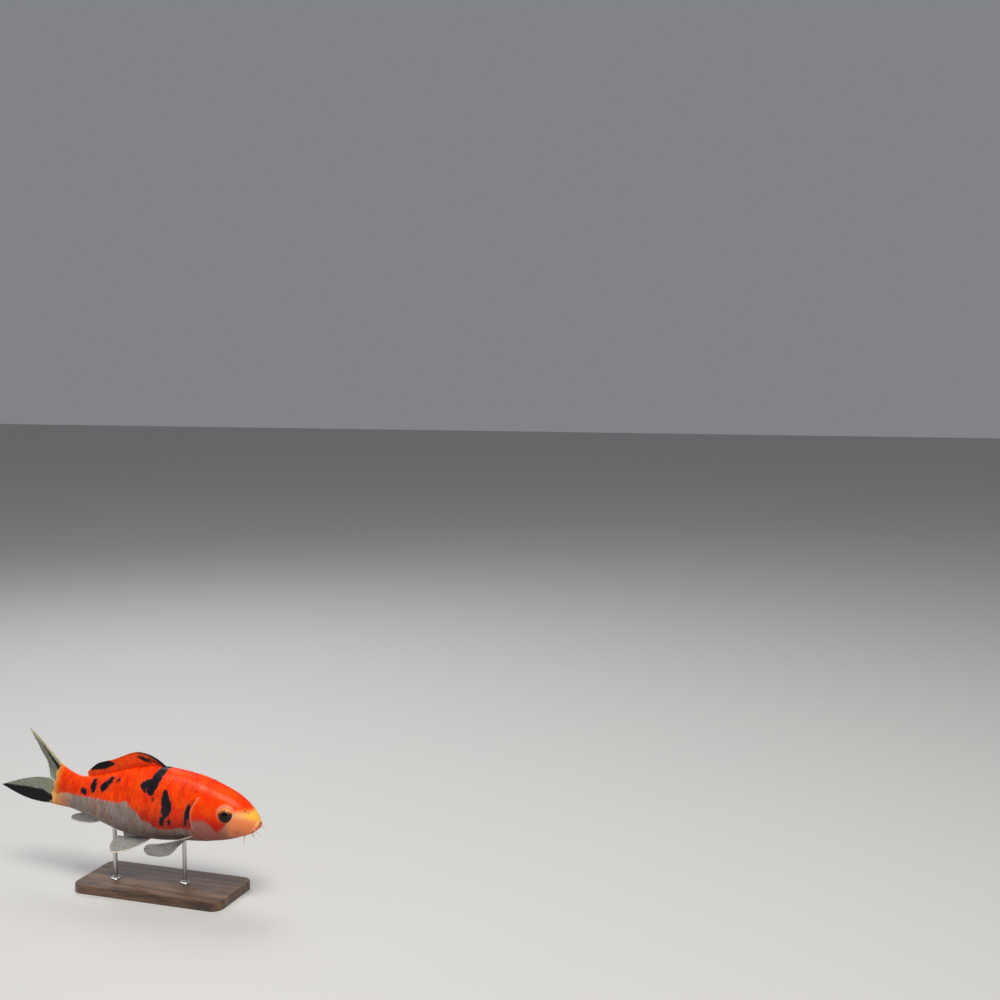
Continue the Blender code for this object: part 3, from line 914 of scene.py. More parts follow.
        skin = new_object("koi_skin", everything, capped_faces(len(points), self.columns))
        face_out(skin)
        where = np.concatenate([place.reshape(-1, 3), [place[0].mean(0), place[-1].mean(0)]])
        MARKINGS.store(skin, where[:, 0], where[:, 1], where[:, 2])
        pad = (len(inner), len(tail))
        put_values(skin, "bare", self.padded_rows(headness, pad))
        put_values(skin, "lip", self.padded_rows(np.clip(lips, 0, 1.3).reshape(t.shape), pad))
        put_values(skin, "relief", self.padded_rows(relief.reshape(t.shape) / MM, pad))
        put_values(skin, "cover_edge", self.padded_rows(self.from_cover_edge(t, turn), pad))
        self.unwrap(skin, len(points))
        return skin

    def shut_mouth(self, points: Array, t: Array, y: Array) -> Array:
        """Brings the lips together and bends their line into an arch, its ends lower than its middle.

        Args:
            points: The skin's points, a row for a ring, the lips' own ring first.
            t: Each point's t.
            y: Each point's place across the fish.

        Returns:
            The moved points.
        """
        up = unit(FISH.point(0.012, 0.0, 0.0) - FISH.point(0.012, 0.0, -0.01))
        over = (points - points[0].mean(0)) @ up
        closing = self.slit_closed * (1 - eased(t, 0.0, 0.0045))
        aside = np.minimum(np.abs(y) * FISH.length / self.lip_half_width, 1.5)
        drop = self.lip_arch * (aside**2 - 0.35) * (1 - eased(t, 0.0, 0.017))
        return points - (over * closing + drop)[..., None] * up

    def from_cover_edge(self, t: Array, turn: Array) -> Array:
        """Millimetres ahead of the gill cover's free edge; large where it has grown on."""
        ahead = (FISH.head_edge(turn) - t) * FISH_MM
        return np.where(self.flap_share(turn) > 0.3, ahead, 20.0)

    def padded_rows(self, values: Array, pad: tuple[int, int]) -> Array:
        """Values a row for a ring, repeated for the mouth's and tail's extra rings and the poles."""
        rows = np.concatenate([np.repeat(values[:1], pad[0], 0), values, np.repeat(values[-1:], pad[1], 0)])
        return np.concatenate([rows.ravel(), [rows[0].mean(), rows[-1].mean()]])

    def mouth_rows(self, ring: Array, place: Array) -> tuple[Array, Array]:
        """Rings that roll in over the lips and back to the mouth's lining.

        Args:
            ring: The points of the lips' ring.
            place: Their fish coordinates.

        Returns:
            The rings' points, innermost first, and their fish coordinates.
        """
        middle = ring.mean(0)
        inward = unit(FISH.point(0.030, 0.0, -0.041) - FISH.point(0.010, 0.0, -0.0385)) * MM
        steps = ((0.40, 3.6, 0.3), (0.72, 2.8, 0.4), (0.88, 1.6, 0.25), (0.93, 0.7, 0.22), (0.97, 0.20, 0.50))
        facing = (self.columns // 2 - np.arange(self.columns)) % self.columns
        line = (ring + ring[facing]) / 2
        wide, deep, high = np.array(steps).T[..., None, None]
        rings = middle + (line - middle) * wide + (ring - line) * high + inward * deep
        return rings, np.repeat(place[None], len(steps), 0)

    def tail_rows(self, ring: Array, place: Array) -> tuple[Array, Array]:
        """Rings that round the body off inside the tail fin's root.

        Args:
            ring: The points of the body's last ring.
            place: Their fish coordinates.

        Returns:
            The rings' points and their fish coordinates.
        """
        middle = ring.mean(0)
        back = FISH.point(1.012, 0, 0) - FISH.point(1.0, 0, 0)
        steps = ((0.9, 0.45), (0.72, 1.0), (0.4, 1.35))
        rings = [middle + size * (ring - middle) + far * back for size, far in steps]
        return np.array(rings), np.repeat(place[None], len(steps), 0)

    def unwrap(self, skin: Thing, rings: int) -> None:
        """An unwrap of the skin's own form: round the body across, from lips to tail upwards.

        Args:
            skin: The skin.
            rings: How many rings of points it has.
        """
        layer = skin.data.uv_layers.new(name="OFBake")
        loops = read_all(skin.data.loops, "vertex_index", kind=np.int32)
        sizes = read_all(skin.data.polygons, "loop_total", kind=np.int32)
        row, column = loops // self.columns, loops % self.columns
        face = np.repeat(np.arange(len(sizes)), sizes)
        widest = np.zeros(len(sizes))
        np.maximum.at(widest, face, column)
        pole = loops >= rings * self.columns
        across = column / self.columns
        across = np.where((widest[face] == self.columns - 1) & (column == 0) & ~pole, 1.0, across)
        up = np.where(pole, np.where(loops == rings * self.columns, 0.0, 1.0), (row + 1) / (rings + 1))
        across = np.where(pole, widest[face] / self.columns, across)
        layer.data.foreach_set("uv", np.stack([across, up], -1).astype(np.float32).ravel())


# --- node trees
class NodeSheet:
    """A short way to lay out and join nodes in a tree."""

    def __init__(self, tree: bpy.types.NodeTree) -> None:
        """Starts on a tree."""
        self.tree = tree

    def add(self, kind: str, inputs: dict | None = None, **settings: object) -> bpy.types.Node:
        """Adds a node.

        Args:
            kind: The node's type name.
            inputs: What goes into its sockets, by name or number: a socket joins, a value is set.
            settings: The node's own properties.

        Returns:
            The node.
        """
        node = self.tree.nodes.new(kind)
        for name, value in settings.items():
            setattr(node, name, value)
        for key, value in (inputs or {}).items():
            self.join(value, node.inputs[key])
        return node

    def join(self, value: object, socket: Socket) -> None:
        """Links a socket or sets a plain value.

        Args:
            value: The socket or the value.
            socket: What it goes into.
        """
        if isinstance(value, Socket):
            self.tree.links.new(value, socket)
        else:
            socket.default_value = value

    def math(self, operation: str, *values: object) -> Socket:
        """A sum on numbers; returns its result."""
        return self.add("ShaderNodeMath", dict(enumerate(values)), operation=operation).outputs[0]

    def times(self, first: object, second: object) -> Socket:
        """Two numbers multiplied."""
        return self.math("MULTIPLY", first, second)

    def vector(self, operation: str, *values: object) -> Socket:
        """A sum on vectors.

        Args:
            operation: Its name.
            values: Vectors, and a number for SCALE.

        Returns:
            The vector.
        """
        node = self.add("ShaderNodeVectorMath", operation=operation)
        for k, value in enumerate(values):
            self.join(value, node.inputs["Scale"] if operation == "SCALE" and k == 1 else node.inputs[k])
        return node.outputs[0]


@dataclass
class GeometryRecipe:
    """A Geometry Nodes tree that turns a seed mesh into a finished plain mesh."""

    name: str
    sockets: tuple[tuple[str, str], ...]

    def start(self) -> tuple[NodeSheet, bpy.types.Node, bpy.types.Node]:
        """Makes the tree with its named inputs.

        Returns:
            The sheet, and the nodes at its two ends.
        """
        tree = bpy.data.node_groups.new(self.name, "GeometryNodeTree")
        tree.interface.new_socket("Geometry", in_out="INPUT", socket_type="NodeSocketGeometry")
        for label, kind in self.sockets:
            tree.interface.new_socket(label, in_out="INPUT", socket_type=kind)
        tree.interface.new_socket("Geometry", in_out="OUTPUT", socket_type="NodeSocketGeometry")
        sheet = NodeSheet(tree)
        return sheet, sheet.add("NodeGroupInput"), sheet.add("NodeGroupOutput")

    def grow(self, seed: Thing, tree: bpy.types.NodeTree, values: dict[str, object]) -> Thing:
        """Runs the tree on a seed mesh and keeps the result as a plain mesh.

        Args:
            seed: The object whose mesh the tree starts from.
            tree: The tree from start().
            values: What each named input gets.

        Returns:
            The same object with the grown mesh and no modifier.
        """
        modifier = seed.modifiers.new(self.name, "NODES")
        modifier.node_group = tree
        for item in tree.interface.items_tree:
            if item.in_out == "INPUT" and item.name in values:
                modifier[item.identifier] = values[item.name]
        bpy.context.view_layer.update()
        grown = bpy.data.meshes.new_from_object(seed.evaluated_get(bpy.context.evaluated_depsgraph_get()))
        seed.modifiers.clear()
        seed.data = grown
        return seed


# --- scales
@dataclass
class ScalePlate:
    """One thin scale: root at u = 0, rounded free edge at u = 1, v across from -1 to 1."""

    across: int = 9
    tube: bool = False
    thickness: float = 0.17

    def build(self, name: str) -> Thing:
        """Makes the plate a unit long and wide, its local place kept in 'local'.

        Args:
            name: The object's name.

        Returns:
            The plate.
        """
        u = np.array([0.0, 0.22, 0.44, 0.62, 0.78, 0.90, 0.97, 1.0])
        v = np.linspace(-1, 1, self.across)
        round_off = np.clip((u - 0.42) / 0.58, 0, 1)
        width = np.maximum(np.sqrt(1 - round_off**2.5), 0.0) * (0.80 + 0.20 * eased(u, 0, 0.35))
        width[-1] = 0.16
        grid_u = np.repeat(u[:, None], self.across, 1)
        grid_v = v[None, :] * width[:, None]
        grid_u = grid_u - 0.07 * (1 - eased(u, 0.0, 0.3))[:, None] * np.abs(v[None, :]) ** 2
        crown = 0.10 * (1 - grid_v**2)
        if self.tube:
            run = eased(grid_u, 0.35, 0.5) - eased(grid_u, 0.93, 1.0)
            crown = crown + 0.20 * bump(grid_v, 0, 0.16) * run
        lip = 0.05 * eased(grid_u, 0.86, 1.0)
        top = np.stack([grid_u, grid_v, crown + lip], -1).reshape(-1, 3)
        count, half = len(top), len(u) - 1
        border = [i * self.across for i in range(len(u))]
        border += [half * self.across + j for j in range(1, self.across)]
        border += [i * self.across + self.across - 1 for i in range(half - 1, -1, -1)]
        last = count + len(border) - 1
        rim = top[border] * (0.985, 0.985, 1.0) - (0.0, 0.0, self.thickness)
        faces = grid_faces(len(u), self.across, wrap=False)
        faces += [(a, count + k, count + k + 1, b) for k, (a, b) in enumerate(zip(border, border[1:]))]
        faces.append((*range(self.across - 1, -1, -1), count, last))
        faces += [(count + k, last - k, last - k - 1, count + k + 1) for k in range(half)]
        faces.append(tuple(range(last - half, count + half - 1, -1)))
        points = np.concatenate([top, rim])
        plate = new_object(name, points, faces)
        face_out(plate)
        put_values(plate, "local", np.stack([points[:, 0], points[:, 1] * 0.5 + 0.5, points[:, 2]], -1))
        return plate


@dataclass
class ScaleCoat:
    """The overlapping scales of one flank, laid by Geometry Nodes."""

    along: int = 36
    rows_up: tuple[float, float] = (6.0, 4.0)
    rows_down: tuple[float, float] = (6.0, 4.0)
    length_share: float = 1.66
    width_share: float = 1.66
    root_height: float = -0.30 * MM
    edge_height: float = 0.26 * MM
    first_root: float = 0.262
    last_root: float = 0.984
    under_cover: float = 0.017
    leaning: float = 0.16
    patch: float = 0.003
    bed_grid: tuple[int, int] = (180, 160)
    seed: int = 7

    def lateral_angle(self, t: Array) -> Array:
        """The angle of the lateral line on the right flank.

        Args:
            t: Stations.

        Returns:
            Degrees at each.
        """
        stations = np.linspace(0.2, 1.02, 42)
        heights = smooth_through((0.2, 0.32, 0.55, 0.8, 1.02), (0.030, 0.020, 0.004, 0.000, 0.000), stations)
        angles = np.array([FISH.angle_at(float(s), float(h)) for s, h in zip(stations, heights)])
        return np.interp(t, stations, angles)

    def stations(self) -> tuple[Array, Array]:
        """Where the scales of a row lie; their pitch shortens towards the tail.

        Returns:
            Scale numbers and the t of each.
        """
        numbers = np.linspace(-4, self.along + 1, 400)
        pitch = smooth_through((-4, 4, 22, self.along + 1), (0.0206, 0.0210, 0.0202, 0.0168), numbers)
        t = np.concatenate([[0], np.cumsum((pitch[1:] + pitch[:-1]) / 2 * np.diff(numbers))])
        return numbers, t + self.first_root - np.interp(0, numbers, t)

    def roots(self, side: Side) -> dict[str, Array]:
        """Where every scale of a flank is rooted, and how large it is.

        Args:
            side: The flank.

        Returns:
            Arrays 't', 'angle', 'length', 'width' and 'lateral', a value for each scale.
        """
        numbers, stations = self.stations()
        found: dict[str, list] = {"t": [], "angle": [], "length": [], "width": [], "lateral": []}
        for row in range(-6, 7):
            for k in range(-4, self.along + 1):
                t = float(np.interp(k + 0.5 * (row % 2), numbers, stations))
                ends = self.rows_up if row > 0 else self.rows_down
                window = (0.44, 0.80) if row > 0 else (0.54, 0.82)
                count = ends[0] + (ends[1] - ends[0]) * float(eased(t, *window))
                share = abs(row) / count
                if share > 1.02 or (share > 0.985 and side is Side.LEFT):
                    continue
                line = float(self.lateral_angle(np.array(t)))
                turn = self.turn_at(t, line, 0.0 if row > 0 else 180.0, share)
                edge = float(FISH.head_edge(np.array(turn)))
                if t < edge - self.under_cover or t > self.last_root:
                    continue
                pitch = float(np.interp(k + 1, numbers, stations) - np.interp(k, numbers, stations))
                girth = self.quarter(t, line, 0.0 if row > 0 else 180.0)
                found["t"].append(t)
                found["angle"].append(side.value * turn)
                found["length"].append(pitch * FISH.length * self.length_share)
                found["width"].append(girth / count * self.width_share * 0.5)
                found["lateral"].append(float(row == 0))
        return {name: np.array(values) for name, values in found.items()}

    def arc(self, t: float, line: float, end: float) -> tuple[Array, Array]:
        """Angles from the lateral line to the back or belly and the way covered, in metres."""
        angles = np.linspace(line, end, 49)
        return angles, way_along(FISH.skin(t, angles))

    def turn_at(self, t: float, line: float, end: float, share: float) -> float:
        """The angle at a share of the way from the lateral line to the back or belly."""
        angles, way = self.arc(t, line, end)
        return float(np.interp(min(share, 1.0) * way[-1], way, angles))

    def quarter(self, t: float, line: float, end: float) -> float:
        """How far it is round the skin from the lateral line to the back or belly, in metres."""
        return float(self.arc(t, line, end)[1][-1])

    def bed(self) -> Thing:
        """A plain copy of the body's form for the scales to lie on.

        Returns:
            The bed with its 'outward' directions and fish coordinates in 'where'.
        """
        rows, columns = self.bed_grid
        around = np.arange(columns) * 360 / columns
        t, angles = np.meshgrid(np.linspace(0.17, 1.06, rows), around, indexing="ij")
        reach = np.minimum(t, 1.0)
        tailward = unit(FISH.point(1.05, 0, 0) - FISH.point(1.0, 0, 0)) * FISH.length
        points = FISH.skin(reach, angles) + tailward * (t - reach)[..., None]
        thing = new_object("scale_bed", points.reshape(-1, 3), grid_faces(rows, columns, wrap=True))
        put_values(thing, "outward", FISH.normal(reach, angles).reshape(-1, 3))
        back, y, z = FISH.section(reach, angles)
        put_values(thing, "where", np.stack([back + t - reach, y, z], -1).reshape(-1, 3))
        return thing

    def tree(self) -> tuple[GeometryRecipe, bpy.types.NodeTree]:
        """The node tree: plates on the roots, realized, then pressed onto the body's form.

        Returns:
            The recipe and its tree.
        """
        recipe = GeometryRecipe("lay_scales", (
            ("Plate", "NodeSocketObject"),
            ("Line Plate", "NodeSocketObject"),
            ("Bed", "NodeSocketObject"),
            ("Root Height", "NodeSocketFloat"),
            ("Edge Height", "NodeSocketFloat"),
            ("Seed", "NodeSocketInt"),
            ("Finish", "NodeSocketMaterial"),
        ))
        sheet, given, result = recipe.start()

        def named(name: str, kind: str) -> Socket:
            """Reads a named attribute."""
            return sheet.add("GeometryNodeInputNamedAttribute", {"Name": name}, data_type=kind).outputs[0]

        align = "FunctionNodeAlignRotationToVector"
        turned = sheet.add(align, {"Vector": named("outward", "FLOAT_VECTOR")}, axis="Z")
        turned = sheet.add(align, {
            "Rotation": turned.outputs[0], "Vector": named("lie", "FLOAT_VECTOR"),
        }, axis="X", pivot_axis="Z")
        chance = sheet.add("FunctionNodeRandomValue", {"Seed": given.outputs["Seed"]}, data_type="FLOAT")
        tinted = sheet.add("GeometryNodeStoreNamedAttribute", {
            "Geometry": given.outputs["Geometry"], "Name": "tint", "Value": chance.outputs[1],
        }, data_type="FLOAT", domain="POINT")
        lateral = named("lateral", "FLOAT")
        on_line = sheet.add("FunctionNodeCompare", {"A": lateral, "B": 0.5}, data_type="FLOAT").outputs[0]
        off_line = sheet.add("FunctionNodeBooleanMath", {0: on_line}, operation="NOT").outputs[0]
        laid = sheet.add("GeometryNodeJoinGeometry")
        for label, chosen in (("Line Plate", on_line), ("Plate", off_line)):
            plate = sheet.add("GeometryNodeObjectInfo", {"Object": given.outputs[label]})
            placed = sheet.add("GeometryNodeInstanceOnPoints", {
                "Points": tinted.outputs[0], "Selection": chosen, "Instance": plate.outputs["Geometry"],
                "Rotation": turned.outputs[0], "Scale": named("size", "FLOAT_VECTOR"),
            })
            sheet.join(placed.outputs[0], laid.inputs[0])
        real = sheet.add("GeometryNodeRealizeInstances", {"Geometry": laid.outputs[0]})
        bed = sheet.add("GeometryNodeObjectInfo", {"Object": given.outputs["Bed"]}).outputs["Geometry"]
        position = sheet.add("GeometryNodeInputPosition").outputs[0]

        def below(value: Socket) -> Socket:
            """Reads a vector off the bed at the nearest place."""
            inputs = {"Mesh": bed, "Value": value, "Sample Position": position}
            return sheet.add("GeometryNodeSampleNearestSurface", inputs, data_type="FLOAT_VECTOR").outputs[0]

        local = sheet.add("ShaderNodeSeparateXYZ", {0: named("local", "FLOAT_VECTOR")})
        rise = sheet.add("ShaderNodeMapRange", {
            "Value": local.outputs[0],
            "To Min": given.outputs["Root Height"], "To Max": given.outputs["Edge Height"],
        })
        height = sheet.math("ADD", rise.outputs[0], sheet.times(local.outputs[2], MM))
        where = sheet.add("GeometryNodeStoreNamedAttribute", {
            "Geometry": real.outputs[0], "Name": "place", "Value": below(named("where", "FLOAT_VECTOR")),
        }, data_type="FLOAT_VECTOR", domain="POINT")
        lifted = sheet.vector("SCALE", below(named("outward", "FLOAT_VECTOR")), height)
        pressed = sheet.add("GeometryNodeSetPosition", {
            "Geometry": where.outputs[0], "Position": sheet.vector("ADD", below(position), lifted),
        })
        finish = {"Geometry": pressed.outputs[0], "Material": given.outputs["Finish"]}
        sheet.join(sheet.add("GeometryNodeSetMaterial", finish).outputs[0], result.inputs[0])
        return recipe, sheet.tree

    def build(self, side: Side, finish: Material) -> Thing:
        """Lays one flank's scales as a single plain mesh.

        Args:
            side: The flank.
            finish: The scales' material.

        Returns:
            The coat piece.
        """
        roots = self.roots(side)
        t, angle = roots["t"], roots["angle"]
        rng = np.random.default_rng(self.seed + (side is Side.LEFT))
        t = t + rng.normal(0, 0.00035, len(t))
        here, outward = FISH.skin(t, angle), FISH.normal(t, angle)
        lie = FISH.skin(t + 0.01, angle) - here
        seeds = new_object("scales_" + side.word, here, [])
        size = np.stack([roots["length"], roots["width"], np.full(len(t), MM)], -1)
        size[:, :2] *= rng.normal(1, 0.02, (len(t), 1))
        middle = np.stack(FISH.section(np.minimum(t + roots["length"] * 0.62 / FISH.length, 1.02), angle), -1)
        for name, values in {
            "outward": outward, "lie": lie, "size": size, "lateral": roots["lateral"],
            "root": np.stack([angle / 360 % 1.0, t, t * 0], -1), "centre": middle,
        }.items():
            put_values(seeds, name, values)
        recipe, tree = self.tree()
        plates = [ScalePlate().build("plate"), ScalePlate(tube=True).build("line_plate")]
        bed = self.bed()
        coat = recipe.grow(seeds, tree, {
            "Plate": plates[0], "Line Plate": plates[1], "Bed": bed, "Root Height": self.root_height,
            "Edge Height": self.edge_height, "Seed": self.seed, "Finish": finish,
        })
        for spare in (*plates, bed):
            bpy.data.objects.remove(spare, do_unlink=True)
        coat.data.shade_smooth()
        coat.data.set_sharp_from_angle(angle=math.radians(50))
        self.mark(coat)
        return coat

    def mark(self, coat: Thing) -> None:
        """Gives the scales the skin's markings, each scale leaning to its own middle, and their maps.

        Args:
            coat: The laid scales.
        """
        mesh, kept = coat.data, coat.data.attributes
        place, centre, local, root = (
            read_all(kept[name].data, "vector", 3) for name in ("place", "centre", "local", "root")
        )
        kept.remove(kept["place"])
        MARKINGS.store(coat, *(place + (centre - place) * self.leaning).T)
        corner = (local[:, [1, 0]] - 0.5) * self.patch
        on_map = (root[:, :2] / (1.0, 1.1) + corner)[read_all(mesh.loops, "vertex_index", kind=np.int32)]
        for old in list(mesh.uv_layers):
            mesh.uv_layers.remove(old)
        mesh.uv_layers.new(name="OFBake").data.foreach_set("uv", on_map.astype(np.float32).ravel())


# --- eyes, feelers and fins
@dataclass
class KoiEye:
    """One eyeball, a flattened ball with the pupil's dome swelling a little in front."""

    seat: EyeSeat = field(default_factory=EyeSeat)
    rings: int = 72
    spokes: int = 64
    pupil: float = 3.55 * MM
    unseen: float = 9.0

    def build(self, side: Side) -> Thing:
        """Makes the eyeball.

        Args:
            side: The flank.

        Returns:
            The eye, with 'radius', 'lift' and 'sway' from its middle in millimetres.
        """
        centre, look = self.seat.centre_and_look(side)
        up = unit(np.array([0, 0, 1.0]) - look[2] * look)
        across = np.cross(up, look)
        polar = math.pi * np.linspace(0, 1, self.rings + 1)[1:-1] ** 1.15
        turn = np.arange(self.spokes) * 2 * math.pi / self.spokes
        radius = self.seat.radius * np.sin(polar)
        depth = self.seat.half_depth * np.cos(polar)
        front = polar < math.pi / 2
        inner_edge = 0.10 * MM * bump(radius / MM, self.pupil / MM + 0.35, 0.22)
        hollow = -0.14 * MM * bump(radius / MM, self.pupil / MM + 1.1, 0.7)
        depth = depth + np.where(front, inner_edge + hollow, 0)
        points = (
            centre
            + depth[:, None, None] * look
            + radius[:, None, None] * (np.cos(turn)[:, None] * across + np.sin(turn)[:, None] * up)
        )
        poles = [centre + look * self.seat.half_depth, centre - look * self.seat.half_depth]
        points = np.concatenate([points.reshape(-1, 3), poles])
        eye = new_object("eyeball_" + side.word, points, capped_faces(len(polar), self.spokes))
        face_out(eye)
        shown = np.repeat(np.where(front, radius / MM, self.unseen), self.spokes)
        put_values(eye, "radius", np.concatenate([shown, [0, self.unseen]]))
        for name, share in (("lift", np.sin(turn)), ("sway", np.cos(turn))):
            put_values(eye, name, np.concatenate([(radius[:, None] / MM * share).ravel(), [0, 0]]))
        return eye


@dataclass
class Barbel:
    """A soft feeler at the mouth's corner or on the upper lip."""

    name: str
    root: tuple[float, float]
    tip: tuple[float, float, float]
    radii: tuple[float, float]
    stem: tuple[float, float, float] = (-0.90 * MM, 0.10 * MM, 2.30 * MM)
    flare: float = 0.85
    steps: int = 56
    sides: int = 20

    def build(self, side: Side) -> Thing:
        """Makes the feeler as one tapering closed tube with a flared root and a round tip.

        Args:
            side: The flank.

        Returns:
            The feeler, with 'along' from 0 at its root to 1.
        """
        t, angle = self.root[0], side.value * self.root[1]
        inside, start, knee = (FISH.skin(t, angle, out) for out in self.stem)
        end = FISH.point(self.tip[0], side.value * self.tip[1], self.tip[2])
        u = np.linspace(0, 1, self.steps)
        way = (1 - u[:, None]) ** 2 * start + 2 * u[:, None] * (1 - u[:, None]) * knee + u[:, None] ** 2 * end
        way = np.concatenate([[inside, (inside + start) / 2], way])
        radius = (self.radii[0] + (self.radii[1] - self.radii[0]) * u) * 0.90
        radius = radius * (1 + self.flare * np.exp(-u / 0.085)) * (1 + 0.010 * np.sin(u * 47))
        radius = np.concatenate([[radius[0] * 1.35, radius[0] * 1.16], radius])
        ahead = unit(np.gradient(way, axis=0))
        aside = unit(np.cross(ahead, [0.35, 0.9, 0.1]))
        other = np.cross(ahead, aside)
        turn = np.arange(self.sides) * 2 * math.pi / self.sides
        tip_size = np.sqrt(1 - np.clip((np.linspace(0, 1, len(way)) - 0.97) / 0.03, 0, 0.96) ** 2)
        radius = radius * tip_size
        rings = way[:, None] + radius[:, None, None] * (
            np.cos(turn)[:, None] * aside[:, None] + np.sin(turn)[:, None] * other[:, None]
        )
        points = np.concatenate([rings.reshape(-1, 3), [way[0], way[-1] + ahead[-1] * radius[-1] * 0.3]])
        thing = new_object(f"feeler_{self.name}_{side.word}", points, capped_faces(len(rings), self.sides))
        face_out(thing)
        share = np.repeat(np.linspace(0, 1, len(rings)), self.sides)
        put_values(thing, "along", np.concatenate([share, [0, 1]]))
        return thing


def koi_feelers() -> tuple[Barbel, Barbel]:
    """The feelers of one side.

    Returns:
        The long one at the mouth's corner and the short one on the upper lip.
    """
    return (
        Barbel("rear", (0.045, 146.0), (0.067, -0.048, -0.124), (0.76 * MM, 0.34 * MM)),
        Barbel("front", (0.0125, 108.0), (0.002, -0.025, -0.081), (0.54 * MM, 0.28 * MM)),
    )


@dataclass
class RayedFin:
    """A thin fin: branching rays raised on a membrane, between a root line and an edge line."""

    name: str
    roots: tuple
    edge: tuple
    arch: tuple
    rays: int
    spines: int = 1
    lead_first: bool = True
    steps: int = 72
    columns_per_ray: int = 12
    ripple: float = 0.12 * MM
    recess: float = 0.009

    def ridges(self, s: Array, u: Array, sector: Array) -> tuple[Array, Array]:
        """How high the rays stand at each place.

        Args:
            s: Share across the fin, a column vector.
            u: Share along the rays, a row vector.
            sector: The width of one ray's sector in millimetres at each place.

        Returns:
            The ray mask from 0 to 1, and the ray's own size, 1 at its root and less outward.
        """
        number = np.clip(np.floor(s * self.rays), 0, self.rays - 1)
        lead = number if self.lead_first else self.rays - 1 - number
        branched = (lead >= self.spines).astype(float)
        inside = s * self.rays - number - 0.5
        first = 0.235 * eased(u, 0.30, 0.80) * branched
        second = 0.105 * eased(u, 0.62, 1.0) * branched
        size = np.where(lead < self.spines, 1.25 - 0.55 * u, 1.0 - 0.62 * u)
        width = np.where(lead < self.spines, 0.50 - 0.15 * u, 0.40 - 0.24 * u) / np.maximum(sector, 0.35)
        width = np.minimum(width, 0.42)
        mask = np.zeros(np.broadcast_shapes(s.shape, u.shape))
        for a in (-1, 1):
            for b in (-1, 1):
                mask = np.maximum(mask, np.exp(-(((inside - a * first - b * second) / width) ** 2)))
        return mask, size

    def build(self, mirror: Side) -> Thing:
        """Makes the fin as one closed sheet.

        Args:
            mirror: Side.RIGHT as given, Side.LEFT with y turned over.

        Returns:
            The fin, with 'along', 'across', 'ray' and its markings on it.
        """
        columns = self.rays * self.columns_per_ray + 1
        flip = np.array([1.0, mirror.value, 1.0])
        start, end = (along(np.array(line) * flip, columns) for line in (self.roots, self.edge))
        s = np.linspace(0, 1, columns)[:, None]
        u = np.linspace(0, 1, self.steps)[None, :]
        span, base = (way_along(line)[-1] * FISH_MM / self.rays for line in (end, start))
        mask, size = self.ridges(s, u, base + (span - base) * u)
        scallop = 0.5 + 0.5 * np.cos(s * self.rays * 2 * math.pi)
        reach = 1 - self.recess * scallop * np.sin(s * math.pi) ** 0.5
        way = u * reach
        first, last = ((np.array(arch) * flip)[:, None, None] for arch in self.arch)
        bow = (1 - s) ** 2 * first + s**2 * last
        fish = start.T[:, :, None] + (end - start).T[:, :, None] * way + bow * (4 * way * (1 - way))
        points = FISH.point(fish[0], fish[1], fish[2])
        normal = unit(np.cross(np.gradient(points, axis=0), np.gradient(points, axis=1)))
        wave = self.ripple * np.sin(s * self.rays * 2 * math.pi + 1.2) * eased(u, 0.1, 0.5)
        half = (0.070 + 0.030 * (1 - u)) * MM + 0.30 * MM * mask * size
        rim = np.minimum(eased(s, -0.004, 0.012), eased(1 - s, -0.004, 0.012))
        half = half * (0.35 + 0.65 * rim) * (1 - 0.6 * eased(u, 0.985, 1.0))
        points = points + normal * wave[..., None]
        front, back = points + normal * half[..., None], points - normal * half[..., None]
        ring = np.concatenate([front, back[::-1]], axis=0).transpose(1, 0, 2)
        count, around = ring.shape[:2]
        faces = grid_faces(count, around, wrap=True)
        for row, turned in ((0, False), (count - 1, True)):
            for j in range(columns - 1):
                here, after = row * around + j, row * around + j + 1
                far, near = row * around + around - 1 - j, row * around + around - 2 - j
                faces.append((here, after, near, far) if not turned else (far, near, after, here))
        fin = new_object(self.name + "_rayed", ring.reshape(-1, 3), faces)
        face_out(fin)

        def both(values: Array) -> Array:
            """A front-side grid repeated for the back."""
            grid = np.broadcast_to(values, mask.shape)
            return np.concatenate([grid, grid[::-1]], axis=0).T.ravel()

        put_values(fin, "along", both(u))
        put_values(fin, "across", both(s if self.lead_first else 1 - s))
        put_values(fin, "ray", both(mask))
        MARKINGS.store_on_fin(fin, self.name, both(fish[0]), both(fish[2]))
        return fin


def profile_roots(column: int, stations: Sequence[float], sunk: float) -> tuple:
    """Root places inside the back (column 1) or the belly (column 2)."""
    return tuple((t, 0.0, float(FISH.profile(column, t)) + sunk) for t in stations)


